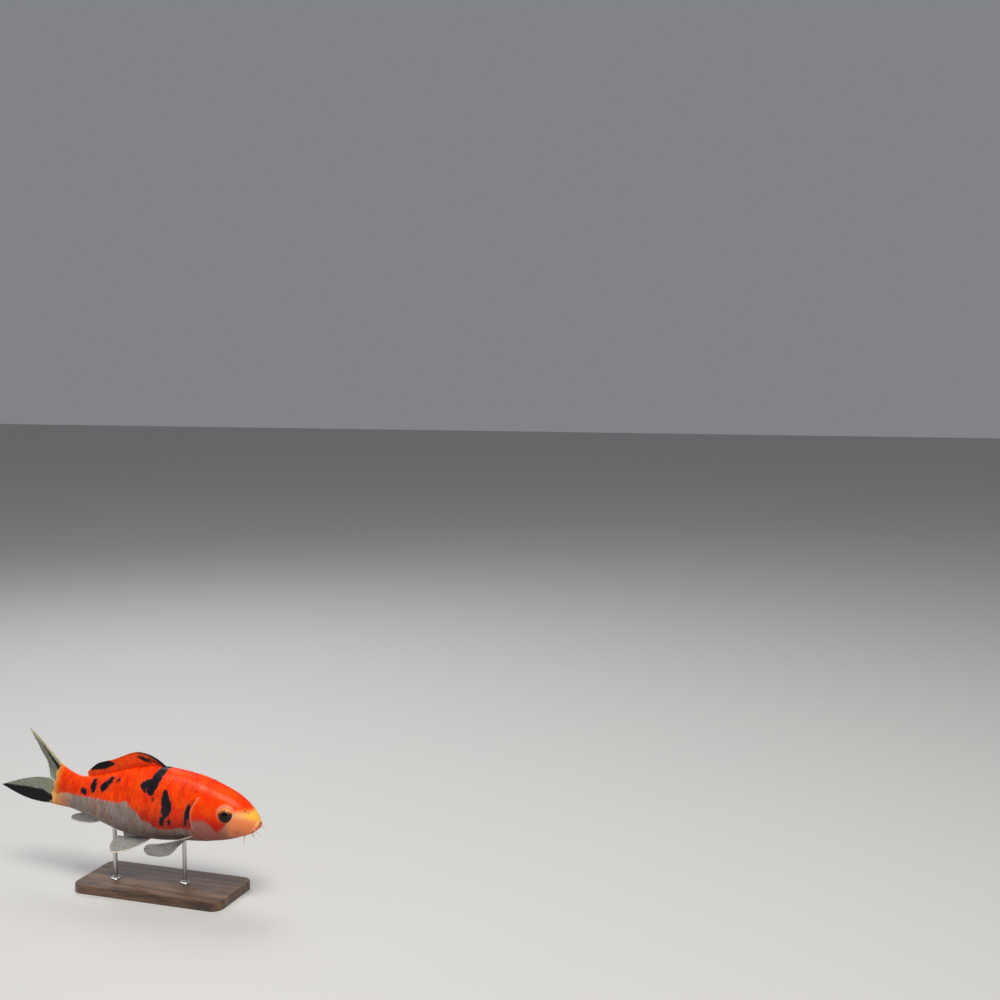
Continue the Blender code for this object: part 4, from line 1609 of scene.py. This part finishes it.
def koi_fins() -> list[tuple[RayedFin, Side, str]]:
    """Every fin of the fish.

    Returns:
        Each fin with its side and its material slot.
    """
    dorsal = RayedFin(
        "fin_dorsal",
        profile_roots(1, (0.434, 0.53, 0.63, 0.73, 0.832), -0.012),
        ((0.586, 0, 0.221), (0.619, 0.002, 0.214), (0.650, 0.004, 0.202), (0.717, 0.005, 0.174),
         (0.758, 0.004, 0.161), (0.796, 0.003, 0.146), (0.826, 0.001, 0.120), (0.846, 0, 0.096)),
        ((-0.004, 0, 0.019), (0, 0, 0)), 20, spines=3,
    )
    upper = RayedFin(
        "fin_tail_upper",
        ((0.962, 0, 0.074), (0.985, 0, 0.035), (0.992, 0, 0.002)),
        ((1.271, 0, 0.153), (1.250, 0.028, 0.118), (1.208, 0.045, 0.085), (1.145, 0.045, 0.058),
         (1.100, 0.032, 0.035), (1.056, 0.008, 0.010)),
        ((0, 0, 0.017), (0, 0, 0)), 11, spines=2, recess=0.008,
    )
    lower = RayedFin(
        "fin_tail_lower",
        ((0.992, 0, -0.002), (0.985, 0, -0.040), (0.966, 0, -0.078)),
        ((1.056, 0.008, 0.006), (1.110, 0.002, -0.010), (1.172, 0, -0.048), (1.233, 0, -0.105),
         (1.274, 0, -0.148)),
        ((0, 0, 0), (0, 0, -0.007)), 10, spines=2, lead_first=False, recess=0.008,
    )
    anal = RayedFin(
        "fin_anal",
        profile_roots(2, (0.733, 0.77, 0.812), 0.012),
        ((0.886, 0, -0.125), (0.889, 0, -0.112), (0.874, 0, -0.098), (0.856, 0, -0.090)),
        ((-0.008, 0, -0.012), (0, 0, 0)), 7, spines=2,
    )
    pectoral = RayedFin(
        "fin_pectoral",
        ((0.276, -0.058, -0.096), (0.300, -0.050, -0.105), (0.324, -0.040, -0.114)),
        ((0.486, -0.109, -0.136), (0.505, -0.112, -0.148), (0.511, -0.114, -0.161), (0.504, -0.114, -0.177),
         (0.480, -0.111, -0.189), (0.438, -0.105, -0.193), (0.401, -0.098, -0.187), (0.374, -0.090, -0.168)),
        ((0, -0.008, -0.010), (0, -0.002, 0.004)), 15, columns_per_ray=10,
    )
    pelvic = RayedFin(
        "fin_pelvic",
        ((0.504, -0.028, -0.136), (0.518, -0.020, -0.139), (0.532, -0.012, -0.138)),
        ((0.651, -0.090, -0.198), (0.664, -0.080, -0.188), (0.671, -0.062, -0.170), (0.668, -0.045, -0.154),
         (0.655, -0.028, -0.141)),
        ((0.004, -0.006, -0.015), (0, 0, -0.003)), 9, columns_per_ray=12,
    )
    made = [(dorsal, Side.RIGHT, "coloured_fin")]
    made += [(fin, Side.RIGHT, "clear_fin") for fin in (upper, lower, anal)]
    made += [(fin, side, "clear_fin") for fin in (pectoral, pelvic) for side in Side]
    return made


# --- finishes
class ShaderSheet(NodeSheet):
    """Node layout for a material."""

    def __init__(self, name: str) -> None:
        """Starts a material with only its output.

        Args:
            name: The material's name.
        """
        self.material = bpy.data.materials.new(name)
        self.material.use_nodes = True
        super().__init__(self.material.node_tree)
        self.tree.nodes.clear()
        self.output = self.add("ShaderNodeOutputMaterial")
        self.place = self.add("ShaderNodeTexCoord").outputs["Object"]

    def value(self, name: str) -> Socket:
        """A number stored on the mesh."""
        return self.add("ShaderNodeAttribute", attribute_name=name).outputs["Fac"]

    def axis(self, name: str, which: int) -> Socket:
        """One part of a vector stored on the mesh."""
        stored = self.add("ShaderNodeAttribute", attribute_name=name).outputs["Vector"]
        return self.add("ShaderNodeSeparateXYZ", {0: stored}).outputs[which]

    def noise(self, scale: float, detail: float = 3.0, rough: float = 0.55, where: object = None) -> Socket:
        """Cloudy values about 0.5.

        Args:
            scale: Features a metre.
            detail: How many finer layers it has.
            rough: How strong they are.
            where: Other coordinates than the object's.

        Returns:
            The value.
        """
        node = self.add("ShaderNodeTexNoise", {
            "Vector": where or self.place, "Scale": scale, "Detail": detail, "Roughness": rough,
        })
        return node.outputs[0]

    def cells(self, scale: float) -> Socket:
        """Distances to scattered points; scale is in points a metre."""
        return self.add("ShaderNodeTexVoronoi", {"Vector": self.place, "Scale": scale}).outputs["Distance"]

    def stretched(self, scale: tuple) -> Socket:
        """The object's own coordinates, scaled along each axis."""
        return self.add("ShaderNodeMapping", {"Vector": self.place, "Scale": scale}).outputs[0]

    def ramp(self, value: object, low: float, high: float, start: float = 0.0, end: float = 1.0) -> Socket:
        """A smooth step of a value.

        Args:
            value: The value.
            low: Where the step begins.
            high: Where it ends.
            start: What it gives below.
            end: What it gives above.

        Returns:
            The stepped value.
        """
        node = self.add("ShaderNodeMapRange", {
            "Value": value, "From Min": low, "From Max": high, "To Min": start, "To Max": end,
        }, interpolation_type="SMOOTHSTEP")
        return node.outputs[0]

    def mix(self, share: object, first: object, second: object, how: str = "MIX") -> Socket:
        """Two colours mixed; a plain colour is three numbers.

        Args:
            share: How much of the second.
            first: The first colour.
            second: The second colour.
            how: The kind of mix.

        Returns:
            The colour.
        """
        node = self.add("ShaderNodeMix", data_type="RGBA", blend_type=how)
        self.join(share, node.inputs[0])
        for value, socket in ((first, node.inputs[6]), (second, node.inputs[7])):
            self.join((*value, 1.0) if isinstance(value, tuple) else value, socket)
        return node.outputs[2]

    def shade(self, colour: object, amount: object) -> Socket:
        """A colour made lighter or darker by a factor about 1."""
        grey = self.add("ShaderNodeCombineColor", {0: amount, 1: amount, 2: amount}).outputs[0]
        return self.mix(1.0, colour, grey, "MULTIPLY")

    def bump(self, height: object, distance: float, strength: float = 1.0, under: object = None) -> Socket:
        """A bump's normal.

        Args:
            height: The height, from 0 to 1.
            distance: What a height of 1 is in metres.
            strength: How much of it shows.
            under: The normal that it is laid over.

        Returns:
            The normal.
        """
        node = self.add("ShaderNodeBump", {"Height": height, "Distance": distance, "Strength": strength})
        if under is not None:
            self.join(under, node.inputs["Normal"])
        return node.outputs[0]

    def finish(self, **sockets: object) -> Material:
        """Ends the material in one Principled surface.

        Args:
            sockets: Its inputs by name, with _ for a space.

        Returns:
            The material.
        """
        surface = self.add("ShaderNodeBsdfPrincipled")
        for name, value in sockets.items():
            plain = (*value, 1.0) if isinstance(value, tuple) and name.endswith("Color") else value
            self.join(plain, surface.inputs[name.replace("_", " ")])
        self.tree.links.new(surface.outputs[0], self.output.inputs[0])
        return self.material


@dataclass(frozen=True)
class KoiColour:
    """The colours that skin and scales share; all are linear."""

    deep_orange: tuple = (0.80, 0.027, 0.0)
    light_orange: tuple = (0.88, 0.062, 0.0)
    # The lower flank's orange: partly a redder hue of its own, partly darkened as painted shade.
    low_orange: tuple = (0.48, 0.013, 0.0)
    # The white is set darker than the real white, as painted shade.
    white: tuple = (0.275, 0.224, 0.204)
    white_blush: tuple = (0.315, 0.190, 0.154)
    black: tuple = (0.008, 0.007, 0.009)
    grey: tuple = (0.070, 0.065, 0.075)
    gold: tuple = (0.92, 0.46, 0.055)
    cream: tuple = (0.44, 0.37, 0.17)
    peach: tuple = (0.86, 0.250, 0.090)
    peach_light: tuple = (0.82, 0.40, 0.19)
    blush: tuple = (0.38, 0.105, 0.080)

    def blend(self, sheet: ShaderSheet) -> tuple[Socket, Socket]:
        """The body's colour from its stored fields.

        Args:
            sheet: The material being laid out.

        Returns:
            The colour, and how black each place is.
        """
        broad, fine = sheet.noise(90, 3), sheet.noise(520, 4)
        wander = sheet.math("MULTIPLY_ADD", sheet.math("SUBTRACT", fine, 0.5), 1.8, sheet.value("beni"))
        soft = sheet.ramp(sheet.value("bare"), 0.5, 1.0, 0.78, 0.42)
        orange_share = sheet.ramp(sheet.times(wander, soft), -1.3, 1.1)
        height = sheet.axis("place", 2)
        orange = sheet.mix(sheet.ramp(broad, 0.35, 0.68), self.deep_orange, self.light_orange)
        # The orange turns redder towards the belly, and darker there as painted shade.
        orange = sheet.mix(sheet.ramp(height, 0.020, -0.065), orange, self.low_orange)
        pale = sheet.mix(sheet.ramp(broad, 0.40, 0.66), self.white, self.white_blush)
        # Painted shade: the white darkens towards the belly's underside.
        pale = sheet.shade(pale, sheet.ramp(height, -0.045, -0.135, 1.0, 0.62))
        gold, peach, blush = (sheet.value(name) for name in ("gold", "peach", "blush"))
        near = sheet.ramp(sheet.value("beni"), -7.5, -1.5)
        pale = sheet.mix(peach, pale, sheet.mix(near, self.peach, self.peach_light))
        pale = sheet.mix(blush, pale, self.blush)
        colour = sheet.mix(orange_share, pale, orange)
        colour = sheet.mix(gold, colour, self.gold)
        colour = sheet.mix(sheet.ramp(sheet.axis("place", 0), 0.985, 1.020, 0.0, 0.85), colour, self.cream)
        brushed = sheet.stretched((1.7, 1.0, 0.75))
        stray = sheet.math("SUBTRACT", sheet.noise(420, 4, 0.62, brushed), 0.5)
        edge = sheet.math("MULTIPLY_ADD", stray, 5.0, sheet.value("sumi"))
        veil = sheet.ramp(edge, -1.5, 0.5)
        colour = sheet.mix(sheet.times(veil, 0.42), colour, self.grey)
        black_share = sheet.ramp(edge, -0.35, 0.55)
        ink = sheet.mix(sheet.ramp(broad, 0.3, 0.7), self.black, (0.016, 0.013, 0.018))
        return sheet.mix(black_share, colour, ink), black_share


@dataclass(frozen=True)
class SkinFinish:
    """Smooth wet skin: bare on the head, a plain ground under the scales, darkened there as painted shade."""

    colour: KoiColour = KoiColour()
    lip: tuple = (0.82, 0.34, 0.20)
    cover_lining: tuple = (0.62, 0.30, 0.20)
    roughness: float = 0.36

    def make(self) -> Material:
        """Lays out the material.

        Returns:
            The material.
        """
        sheet = ShaderSheet("koi_skin")
        colour, black = self.colour.blend(sheet)
        relief = sheet.value("relief")
        # Painted shade in the head's creases, grooves and pits: darker where the relief sinks.
        colour = sheet.shade(colour, sheet.ramp(relief, -0.90, -0.05, 0.42, 1.0))
        # Painted shade under the scales and behind the gill covers: the ground darkens from the head back.
        colour = sheet.shade(colour, sheet.ramp(sheet.value("bare"), 0.9, 0.3, 1.0, 0.55))
        # The lips' colour, also laid on the pale ring round the eye, which is partly a painted highlight.
        colour = sheet.mix(sheet.times(sheet.value("lip"), 0.45), colour, self.lip)
        lined = sheet.ramp(sheet.value("cover_edge"), 2.6, 0.9, 0.0, 0.36)
        lined = sheet.times(lined, sheet.math("SUBTRACT", 1.0, black))
        colour = sheet.mix(lined, colour, self.cover_lining)
        speckle = sheet.cells(1500)
        colour = sheet.shade(colour, sheet.ramp(speckle, 0.0, 0.35, 0.93, 1.03))
        dimple = sheet.cells(1150)
        pore = sheet.bump(sheet.ramp(dimple, 0.0, 0.5), 0.000018)
        skin = sheet.bump(sheet.noise(420, 4, 0.5), 0.00010, 0.5, pore)
        gloss = sheet.ramp(sheet.noise(300, 2), 0.3, 0.7, self.roughness - 0.05, self.roughness + 0.08)
        return sheet.finish(
            Base_Color=colour, Roughness=gloss, Normal=skin, Coat_Weight=0.04, Coat_Roughness=0.14,
            Specular_IOR_Level=0.10, Subsurface_Weight=0.06, Subsurface_Radius=(0.004, 0.0014, 0.0008),
            Subsurface_Scale=0.4,
        )


@dataclass(frozen=True)
class ScaleFinish:
    """Thin wet scales: growth rings, fine spokes, a paler free edge and painted shade towards the root, where
    the scale ahead lies over it.
    """

    colour: KoiColour = KoiColour()
    roughness: float = 0.30

    def make(self) -> Material:
        """Lays out the material.

        Returns:
            The material.
        """
        sheet = ShaderSheet("koi_scales")
        colour, black = self.colour.blend(sheet)
        back, across = sheet.axis("local", 0), sheet.axis("local", 1)
        tint = sheet.value("tint")
        off = sheet.math("SUBTRACT", across, 0.5)
        from_root = sheet.math("SUBTRACT", back, 0.16)
        squares = sheet.times(from_root, from_root), sheet.times(off, off)
        circle = sheet.math("SQRT", sheet.math("ADD", *squares))
        spoke = sheet.math("ARCTAN2", off, from_root)
        rings = sheet.math("SINE", sheet.times(circle, 150.0))
        spokes = sheet.math("SINE", sheet.times(spoke, 21.0))
        colour = sheet.shade(colour, sheet.ramp(tint, 0.0, 1.0, 0.86, 1.12))
        # Painted shade: each scale darkens towards its root, where the scale ahead overlaps it.
        root = sheet.ramp(back, 0.30, 0.66, 0.68, 1.0)
        colour = sheet.shade(colour, root)
        rim = sheet.ramp(circle, 0.70, 0.83)
        light = sheet.mix(0.30, colour, (0.90, 0.36, 0.14), "SCREEN")
        rim_share = sheet.times(sheet.times(rim, 0.26), sheet.math("SUBTRACT", 1.0, black))
        colour = sheet.mix(rim_share, colour, light)
        colour = sheet.shade(colour, sheet.ramp(rings, -1, 1, 0.975, 1.015))
        ring_bump = sheet.bump(rings, 0.000003)
        fading_spokes = sheet.times(spokes, sheet.ramp(circle, 0.35, 0.75))
        spoke_bump = sheet.bump(fading_spokes, 0.000010, 1.0, ring_bump)
        skin = sheet.bump(sheet.noise(900, 4), 0.00006, 0.6, spoke_bump)
        gloss = sheet.ramp(sheet.noise(400, 2), 0.3, 0.7, self.roughness - 0.05, self.roughness + 0.09)
        return sheet.finish(
            Base_Color=colour, Roughness=gloss, Normal=skin, Coat_Weight=0.04, Coat_Roughness=0.18,
            Specular_IOR_Level=0.14,
        )


@dataclass(frozen=True)
class FinFinish:
    """A fin's thin membrane and jointed rays, see-through between the rays."""

    name: str
    root: tuple
    ray: tuple
    membrane: tuple
    lead: tuple
    root_reach: float = 0.45
    see_through: float = 0.35
    glow: float = 0.25
    lead_width: float = 0.05

    def make(self) -> Material:
        """Lays out the material.

        Returns:
            The material.
        """
        sheet = ShaderSheet(self.name)
        out, ray, across = sheet.value("along"), sheet.value("ray"), sheet.value("across")
        cloud = sheet.noise(260, 4)
        ray_share = sheet.ramp(ray, 0.25, 0.85)
        colour = sheet.mix(ray_share, self.membrane, self.ray)
        reach = sheet.math("MULTIPLY_ADD", sheet.math("SUBTRACT", cloud, 0.5), 0.35, out)
        colour = sheet.mix(sheet.ramp(reach, self.root_reach, 0.04), colour, self.root)
        # The leading edge's colour; on the pale fins it is a painted highlight.
        lead = sheet.ramp(across, self.lead_width * 1.5, self.lead_width * 0.6)
        colour = sheet.mix(sheet.times(lead, 0.9), colour, self.lead)
        joints = sheet.math("SINE", sheet.times(out, 210.0))
        colour = sheet.shade(colour, sheet.ramp(joints, -1.0, 0.2, 0.90, 1.03))
        colour = sheet.shade(colour, sheet.ramp(cloud, 0.3, 0.7, 0.84, 1.12))
        stray = sheet.math("SUBTRACT", sheet.noise(650, 4, 0.62), 0.5)
        streak = sheet.times(sheet.math("SUBTRACT", ray, 0.5), 0.9)
        edge = sheet.math("ADD", sheet.math("MULTIPLY_ADD", stray, 2.4, sheet.value("sumi")), streak)
        black = sheet.ramp(edge, -0.6, 0.7)
        colour = sheet.mix(black, colour, (0.010, 0.009, 0.012))
        solid = sheet.math("MAXIMUM", ray_share, sheet.math("MAXIMUM", sheet.ramp(out, 0.4, 0.02), black))
        alpha = sheet.ramp(solid, 0.0, 1.0, 1.0 - self.see_through, 1.0)
        raised = sheet.bump(joints, 0.00002)
        grain = sheet.bump(sheet.noise(1500, 3), 0.00005, 0.5, raised)
        surface = sheet.add("ShaderNodeBsdfPrincipled", {
            "Base Color": colour, "Roughness": 0.38, "Normal": grain, "Alpha": alpha,
            "Coat Weight": 0.06, "Specular IOR Level": 0.25,
        })
        glow = sheet.add("ShaderNodeBsdfTranslucent", {"Color": colour, "Normal": grain})
        both = sheet.add("ShaderNodeMixShader", {0: self.glow, 1: surface.outputs[0], 2: glow.outputs[0]})
        sheet.tree.links.new(both.outputs[0], sheet.output.inputs[0])
        return sheet.material


@dataclass(frozen=True)
class EyeFinish:
    """A wet dark eye: black pupil, thin gold ring, smoky bronze iris, orange upper rim; lighter in its upper
    half, partly its own colour and partly a painted reflection.
    """

    def make(self) -> Material:
        """Lays out the material.

        Returns:
            The material.
        """
        sheet = ShaderSheet("koi_eye")
        radius, lift, sway = sheet.value("radius"), sheet.value("lift"), sheet.value("sway")
        spoke = sheet.math("ARCTAN2", lift, sway)
        spread = sheet.add("ShaderNodeCombineXYZ", {0: sheet.times(spoke, 7.0), 1: radius, 2: 0.0}).outputs[0]
        fibres, clouds = sheet.noise(1.6, 4, 0.6, spread), sheet.noise(0.9, 3, 0.6, spread)
        iris = sheet.mix(sheet.ramp(fibres, 0.36, 0.66), (0.010, 0.005, 0.004), (0.060, 0.018, 0.008))
        iris = sheet.mix(sheet.ramp(clouds, 0.45, 0.62), iris, (0.010, 0.006, 0.006))
        # Lighter towards the top: the iris's upper half, the orange rim and the gold ring are partly their
        # own colour, partly a painted reflection of the head above.
        lit = sheet.mix(sheet.ramp(fibres, 0.34, 0.68), (0.20, 0.045, 0.018), (0.46, 0.120, 0.045))
        iris = sheet.mix(sheet.ramp(lift, 0.8, 3.6, 0.0, 0.92), iris, lit)
        wobble = sheet.math("MULTIPLY_ADD", sheet.math("SUBTRACT", fibres, 0.5), 0.30, radius)
        rim = sheet.mix(sheet.ramp(lift, 0.6, 4.4), (0.040, 0.009, 0.007), (0.86, 0.33, 0.080))
        colour = sheet.mix(sheet.ramp(wobble, 5.05, 5.45), iris, rim)
        ring = sheet.times(sheet.ramp(wobble, 3.52, 3.64), sheet.ramp(wobble, 3.90, 3.76))
        gold = sheet.mix(sheet.ramp(fibres, 0.3, 0.7), (0.22, 0.07, 0.015), (0.52, 0.20, 0.04))
        colour = sheet.mix(sheet.times(ring, sheet.ramp(lift, -2.0, 3.4, 0.04, 0.50)), colour, gold)
        colour = sheet.mix(sheet.ramp(wobble, 3.62, 3.50), colour, (0.002, 0.002, 0.003))
        lines = sheet.bump(fibres, 0.00005, 0.5)
        return sheet.finish(
            Base_Color=colour, Roughness=0.26, Normal=lines, Coat_Weight=0.28, Coat_Roughness=0.05,
            Specular_IOR_Level=0.12,
        )


@dataclass(frozen=True)
class FeelerFinish:
    """Soft pale flesh, pinker at the root."""

    def make(self) -> Material:
        """Lays out the material.

        Returns:
            The material.
        """
        sheet = ShaderSheet("koi_feeler")
        out, cloud = sheet.value("along"), sheet.noise(900, 3)
        colour = sheet.mix(sheet.ramp(out, 0.02, 0.34), (0.72, 0.20, 0.080), (0.62, 0.47, 0.37))
        colour = sheet.shade(colour, sheet.ramp(cloud, 0.3, 0.7, 0.85, 1.10))
        folds = sheet.math("SINE", sheet.math("MULTIPLY_ADD", cloud, 9.0, sheet.times(out, 150.0)))
        soft = sheet.bump(cloud, 0.00006, 0.5, sheet.bump(folds, 0.000003))
        return sheet.finish(
            Base_Color=colour, Roughness=0.42, Normal=soft, Coat_Weight=0.25, Coat_Roughness=0.2,
            Subsurface_Weight=0.15, Subsurface_Radius=(0.003, 0.0012, 0.0008), Subsurface_Scale=0.3,
        )


@dataclass(frozen=True)
class WalnutFinish:
    """Satin dark walnut with growth bands, streaks and open pores along its length."""

    dark: tuple = (0.042, 0.020, 0.010)
    light: tuple = (0.165, 0.084, 0.043)

    def make(self) -> Material:
        """Lays out the material.

        Returns:
            The material.
        """
        sheet = ShaderSheet("walnut")
        stretch = sheet.stretched((0.10, 1.0, 1.0))
        warp = sheet.noise(38, 3, 0.5, stretch)
        across = sheet.add("ShaderNodeSeparateXYZ", {0: stretch}).outputs[1]
        bands = sheet.math("SINE", sheet.math("MULTIPLY_ADD", warp, 24.0, sheet.times(across, 430.0)))
        streaks = sheet.noise(430, 6, 0.72, stretch)
        figure = sheet.math("MULTIPLY_ADD", bands, 0.10, streaks)
        colour = sheet.mix(sheet.ramp(figure, 0.30, 0.70), self.dark, self.light)
        fine = sheet.stretched((0.035, 1.0, 1.0))
        pores = sheet.ramp(sheet.noise(2600, 2, 0.5, fine), 0.60, 0.68)
        colour = sheet.mix(sheet.times(pores, 0.55), colour, (0.016, 0.008, 0.005))
        grain = sheet.bump(pores, -0.00006, 0.8, sheet.bump(streaks, 0.00004))
        gloss = sheet.ramp(streaks, 0.3, 0.7, 0.34, 0.46)
        return sheet.finish(
            Base_Color=colour, Roughness=gloss, Normal=grain, Coat_Weight=0.18, Coat_Roughness=0.25,
        )


@dataclass(frozen=True)
class SteelFinish:
    """Brushed stainless steel, the brushing round the rod."""

    def make(self) -> Material:
        """Lays out the material.

        Returns:
            The material.
        """
        sheet = ShaderSheet("rod_steel")
        squash = sheet.stretched((0.05, 0.05, 1.0))
        lines = sheet.noise(9000, 3, 0.6, squash)
        colour = sheet.mix(sheet.ramp(lines, 0.3, 0.7), (0.50, 0.50, 0.51), (0.66, 0.66, 0.67))
        gloss = sheet.ramp(lines, 0.3, 0.7, 0.24, 0.38)
        brushed = sheet.bump(lines, 0.00001)
        return sheet.finish(Base_Color=colour, Metallic=1.0, Roughness=gloss, Normal=brushed)


# --- stand, room and camera
@dataclass
class DisplayStand:
    """The base and rods, which keep their own solids, and a turned collar round each rod's foot."""

    base_top: float = 8.0 * MM
    profile: tuple = (
        (2.02, -0.05), (4.6, -0.05), (4.9, 0.10), (5.0, 0.45), (4.75, 0.80), (4.2, 0.98), (3.3, 1.10),
        (3.05, 1.30), (3.0, 2.00), (2.85, 2.25), (2.5, 2.35), (2.02, 2.35),
    )
    collar_sides: int = 64

    def collar(self, rod: str) -> Thing:
        """A ring turned from its profile round a rod's foot.

        Args:
            rod: The rod's node.

        Returns:
            The collar.
        """
        low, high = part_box(rod)
        middle, sides = (low + high) / 2, self.collar_sides
        turn = np.arange(sides) * 2 * math.pi / sides
        radius, height = np.array(self.profile).T[..., None] * MM
        rings = np.stack([
            middle.x + radius * np.cos(turn), middle.y + radius * np.sin(turn),
            self.base_top + height + 0 * turn,
        ], -1)
        count = len(rings) * sides
        faces = [tuple(k % count for k in face) for face in grid_faces(len(rings) + 1, sides, wrap=True)]
        thing = new_object(rod.replace("stand_rod", "stand_collar"), rings.reshape(-1, 3), faces)
        face_out(thing)
        thing.data.set_sharp_from_angle(angle=math.radians(40))
        return thing

    def dress(self) -> None:
        """Gives the base its wood and the rods their steel."""
        wood, steel = WalnutFinish().make(), SteelFinish().make()
        for node, finish in (("stand_base", wood), ("stand_rod_front", steel), ("stand_rod_rear", steel)):
            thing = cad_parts[node]
            thing.data.materials.clear()
            thing.data.materials.append(finish)
            LOG.info("%s: dressed", node)
            if finish is steel:
                dress(self.collar(node), steel, "rod")


@dataclass
class Room:
    """A pale floor, soft studio light and the camera."""

    camera_at: tuple = (0.65173173, -1.01178805, 0.46600565)
    heading: tuple = (-0.31080188, 0.95047472)
    pitch: float = -5.497
    lens: float = 47.88
    floor_half: float = 9.0
    floor_grey: float = 0.50
    sky_strength: float = 0.24
    aimed_at: tuple = (-0.03, 0.0, 0.08)

    def build(self) -> None:
        """Sets the room up."""
        half = self.floor_half
        corners = [(-half, -half, 0), (half, -half, 0), (half, half, 0), (-half, half, 0)]
        floor = new_object("floor", corners, [(0, 1, 2, 3)], smooth=False)
        sheet = ShaderSheet("floor")
        cloud = sheet.noise(6, 3)
        grey = self.floor_grey
        tone = sheet.mix(cloud, (grey, grey, grey), (grey * 1.03, grey * 1.02, grey))
        floor.data.materials.append(sheet.finish(Base_Color=tone, Roughness=0.7))
        world = bpy.data.worlds.new("studio")
        bpy.context.scene.world = world
        world.use_nodes = True
        sky = world.node_tree.nodes["Background"]
        sky.inputs["Color"].default_value = (0.93, 0.95, 1.0, 1.0)
        sky.inputs["Strength"].default_value = self.sky_strength
        bpy.context.scene.view_settings.view_transform = "Standard"
        self.lamp("key", (0.55, -0.75, 2.10), 1.1, 58.0, (1.0, 0.97, 0.92))
        self.lamp("rim", (-0.75, 0.90, 1.30), 0.7, 9.0, (0.95, 0.97, 1.0))
        self.aim_camera()

    def lamp(self, name: str, at: tuple, size: float, power: float, colour: tuple) -> None:
        """A square soft lamp aimed at the fish.

        Args:
            name: Its name.
            at: Its place.
            size: Its side in metres.
            power: Its power in watts.
            colour: Its linear colour.
        """
        light = bpy.data.lights.new(name, "AREA")
        light.shape = "SQUARE"
        light.size = size
        light.energy = power
        light.color = colour
        thing = bpy.data.objects.new(name, light)
        thing.location = at
        thing.rotation_euler = (Vector(self.aimed_at) - Vector(at)).to_track_quat("-Z", "Y").to_euler()
        bpy.context.scene.collection.objects.link(thing)

    def aim_camera(self) -> None:
        """The camera above the floor, looking down a little on the fish."""
        lens = bpy.data.cameras.new("camera")
        lens.lens = self.lens
        lens.sensor_width = 36.0
        lens.clip_start, lens.clip_end = 0.01, 30.0
        thing = bpy.data.objects.new("camera", lens)
        thing.location = self.camera_at
        drop = math.radians(self.pitch)
        look = Vector((*(part * math.cos(drop) for part in self.heading), math.sin(drop)))
        thing.rotation_euler = look.to_track_quat("-Z", "Y").to_euler()
        bpy.context.scene.collection.objects.link(thing)
        bpy.context.scene.camera = thing


def dress_fins() -> None:
    """Builds every fin and gives each its finish."""
    orange = FinFinish(
        "dorsal_fin", (0.90, 0.050, 0.0), (0.94, 0.090, 0.003), (0.98, 0.135, 0.008), (0.16, 0.030, 0.010),
        root_reach=0.75, see_through=0.15, glow=0.46,
    )
    tail_upper = FinFinish(
        "tail_fin", (0.62, 0.42, 0.13), (0.44, 0.45, 0.30), (0.25, 0.285, 0.22), (0.80, 0.72, 0.40),
        root_reach=0.34, see_through=0.42, glow=0.32, lead_width=0.12,
    )
    tail_lower = replace(tail_upper, name="tail_fin_lower", lead=(0.20, 0.21, 0.16), lead_width=0.05)
    # The pale leading edge of the paired and anal fins is a painted highlight, where the top edge catches the
    # light.
    pale = FinFinish(
        "paired_fin", (0.60, 0.44, 0.37), (0.46, 0.44, 0.41), (0.24, 0.255, 0.255), (0.84, 0.72, 0.64),
        root_reach=0.22, see_through=0.42, lead_width=0.075,
    )
    finishes = {"fin_dorsal": orange, "fin_tail_upper": tail_upper, "fin_tail_lower": tail_lower}
    made = {finish.name: finish.make() for finish in (orange, tail_upper, tail_lower, pale)}
    for fin, side, slot in koi_fins():
        thing = fin.build(side)
        paired = fin.name in ("fin_pectoral", "fin_pelvic")
        node = f"{fin.name}_{side.word}" if paired else fin.name
        thing.name = node + "_rayed"
        dress(thing, made[finishes.get(fin.name, pale).name], slot, node)


def main() -> None:
    """Builds the dressed koi, piece by piece."""
    logging.basicConfig(level=logging.INFO, format="%(name)s: %(message)s")
    Room().build()
    skin = KoiSkin().build()
    flesh = ("head", "trunk", "tail_stem", "gill_cover_right", "gill_cover_left")
    dress(skin, SkinFinish().make(), "skin", *flesh)
    scale_finish = ScaleFinish().make()
    for side in Side:
        coat = ScaleCoat().build(side, scale_finish)
        dress(coat, scale_finish, "skin")
    eye_finish, feeler_finish = EyeFinish().make(), FeelerFinish().make()
    for side in Side:
        dress(KoiEye().build(side), eye_finish, "eye", "eye_" + side.word)
        for feeler in koi_feelers():
            dress(feeler.build(side), feeler_finish, "barbel", f"barbel_{feeler.name}_{side.word}")
    dress_fins()
    DisplayStand().dress()


if __name__ == "__main__":
    main()
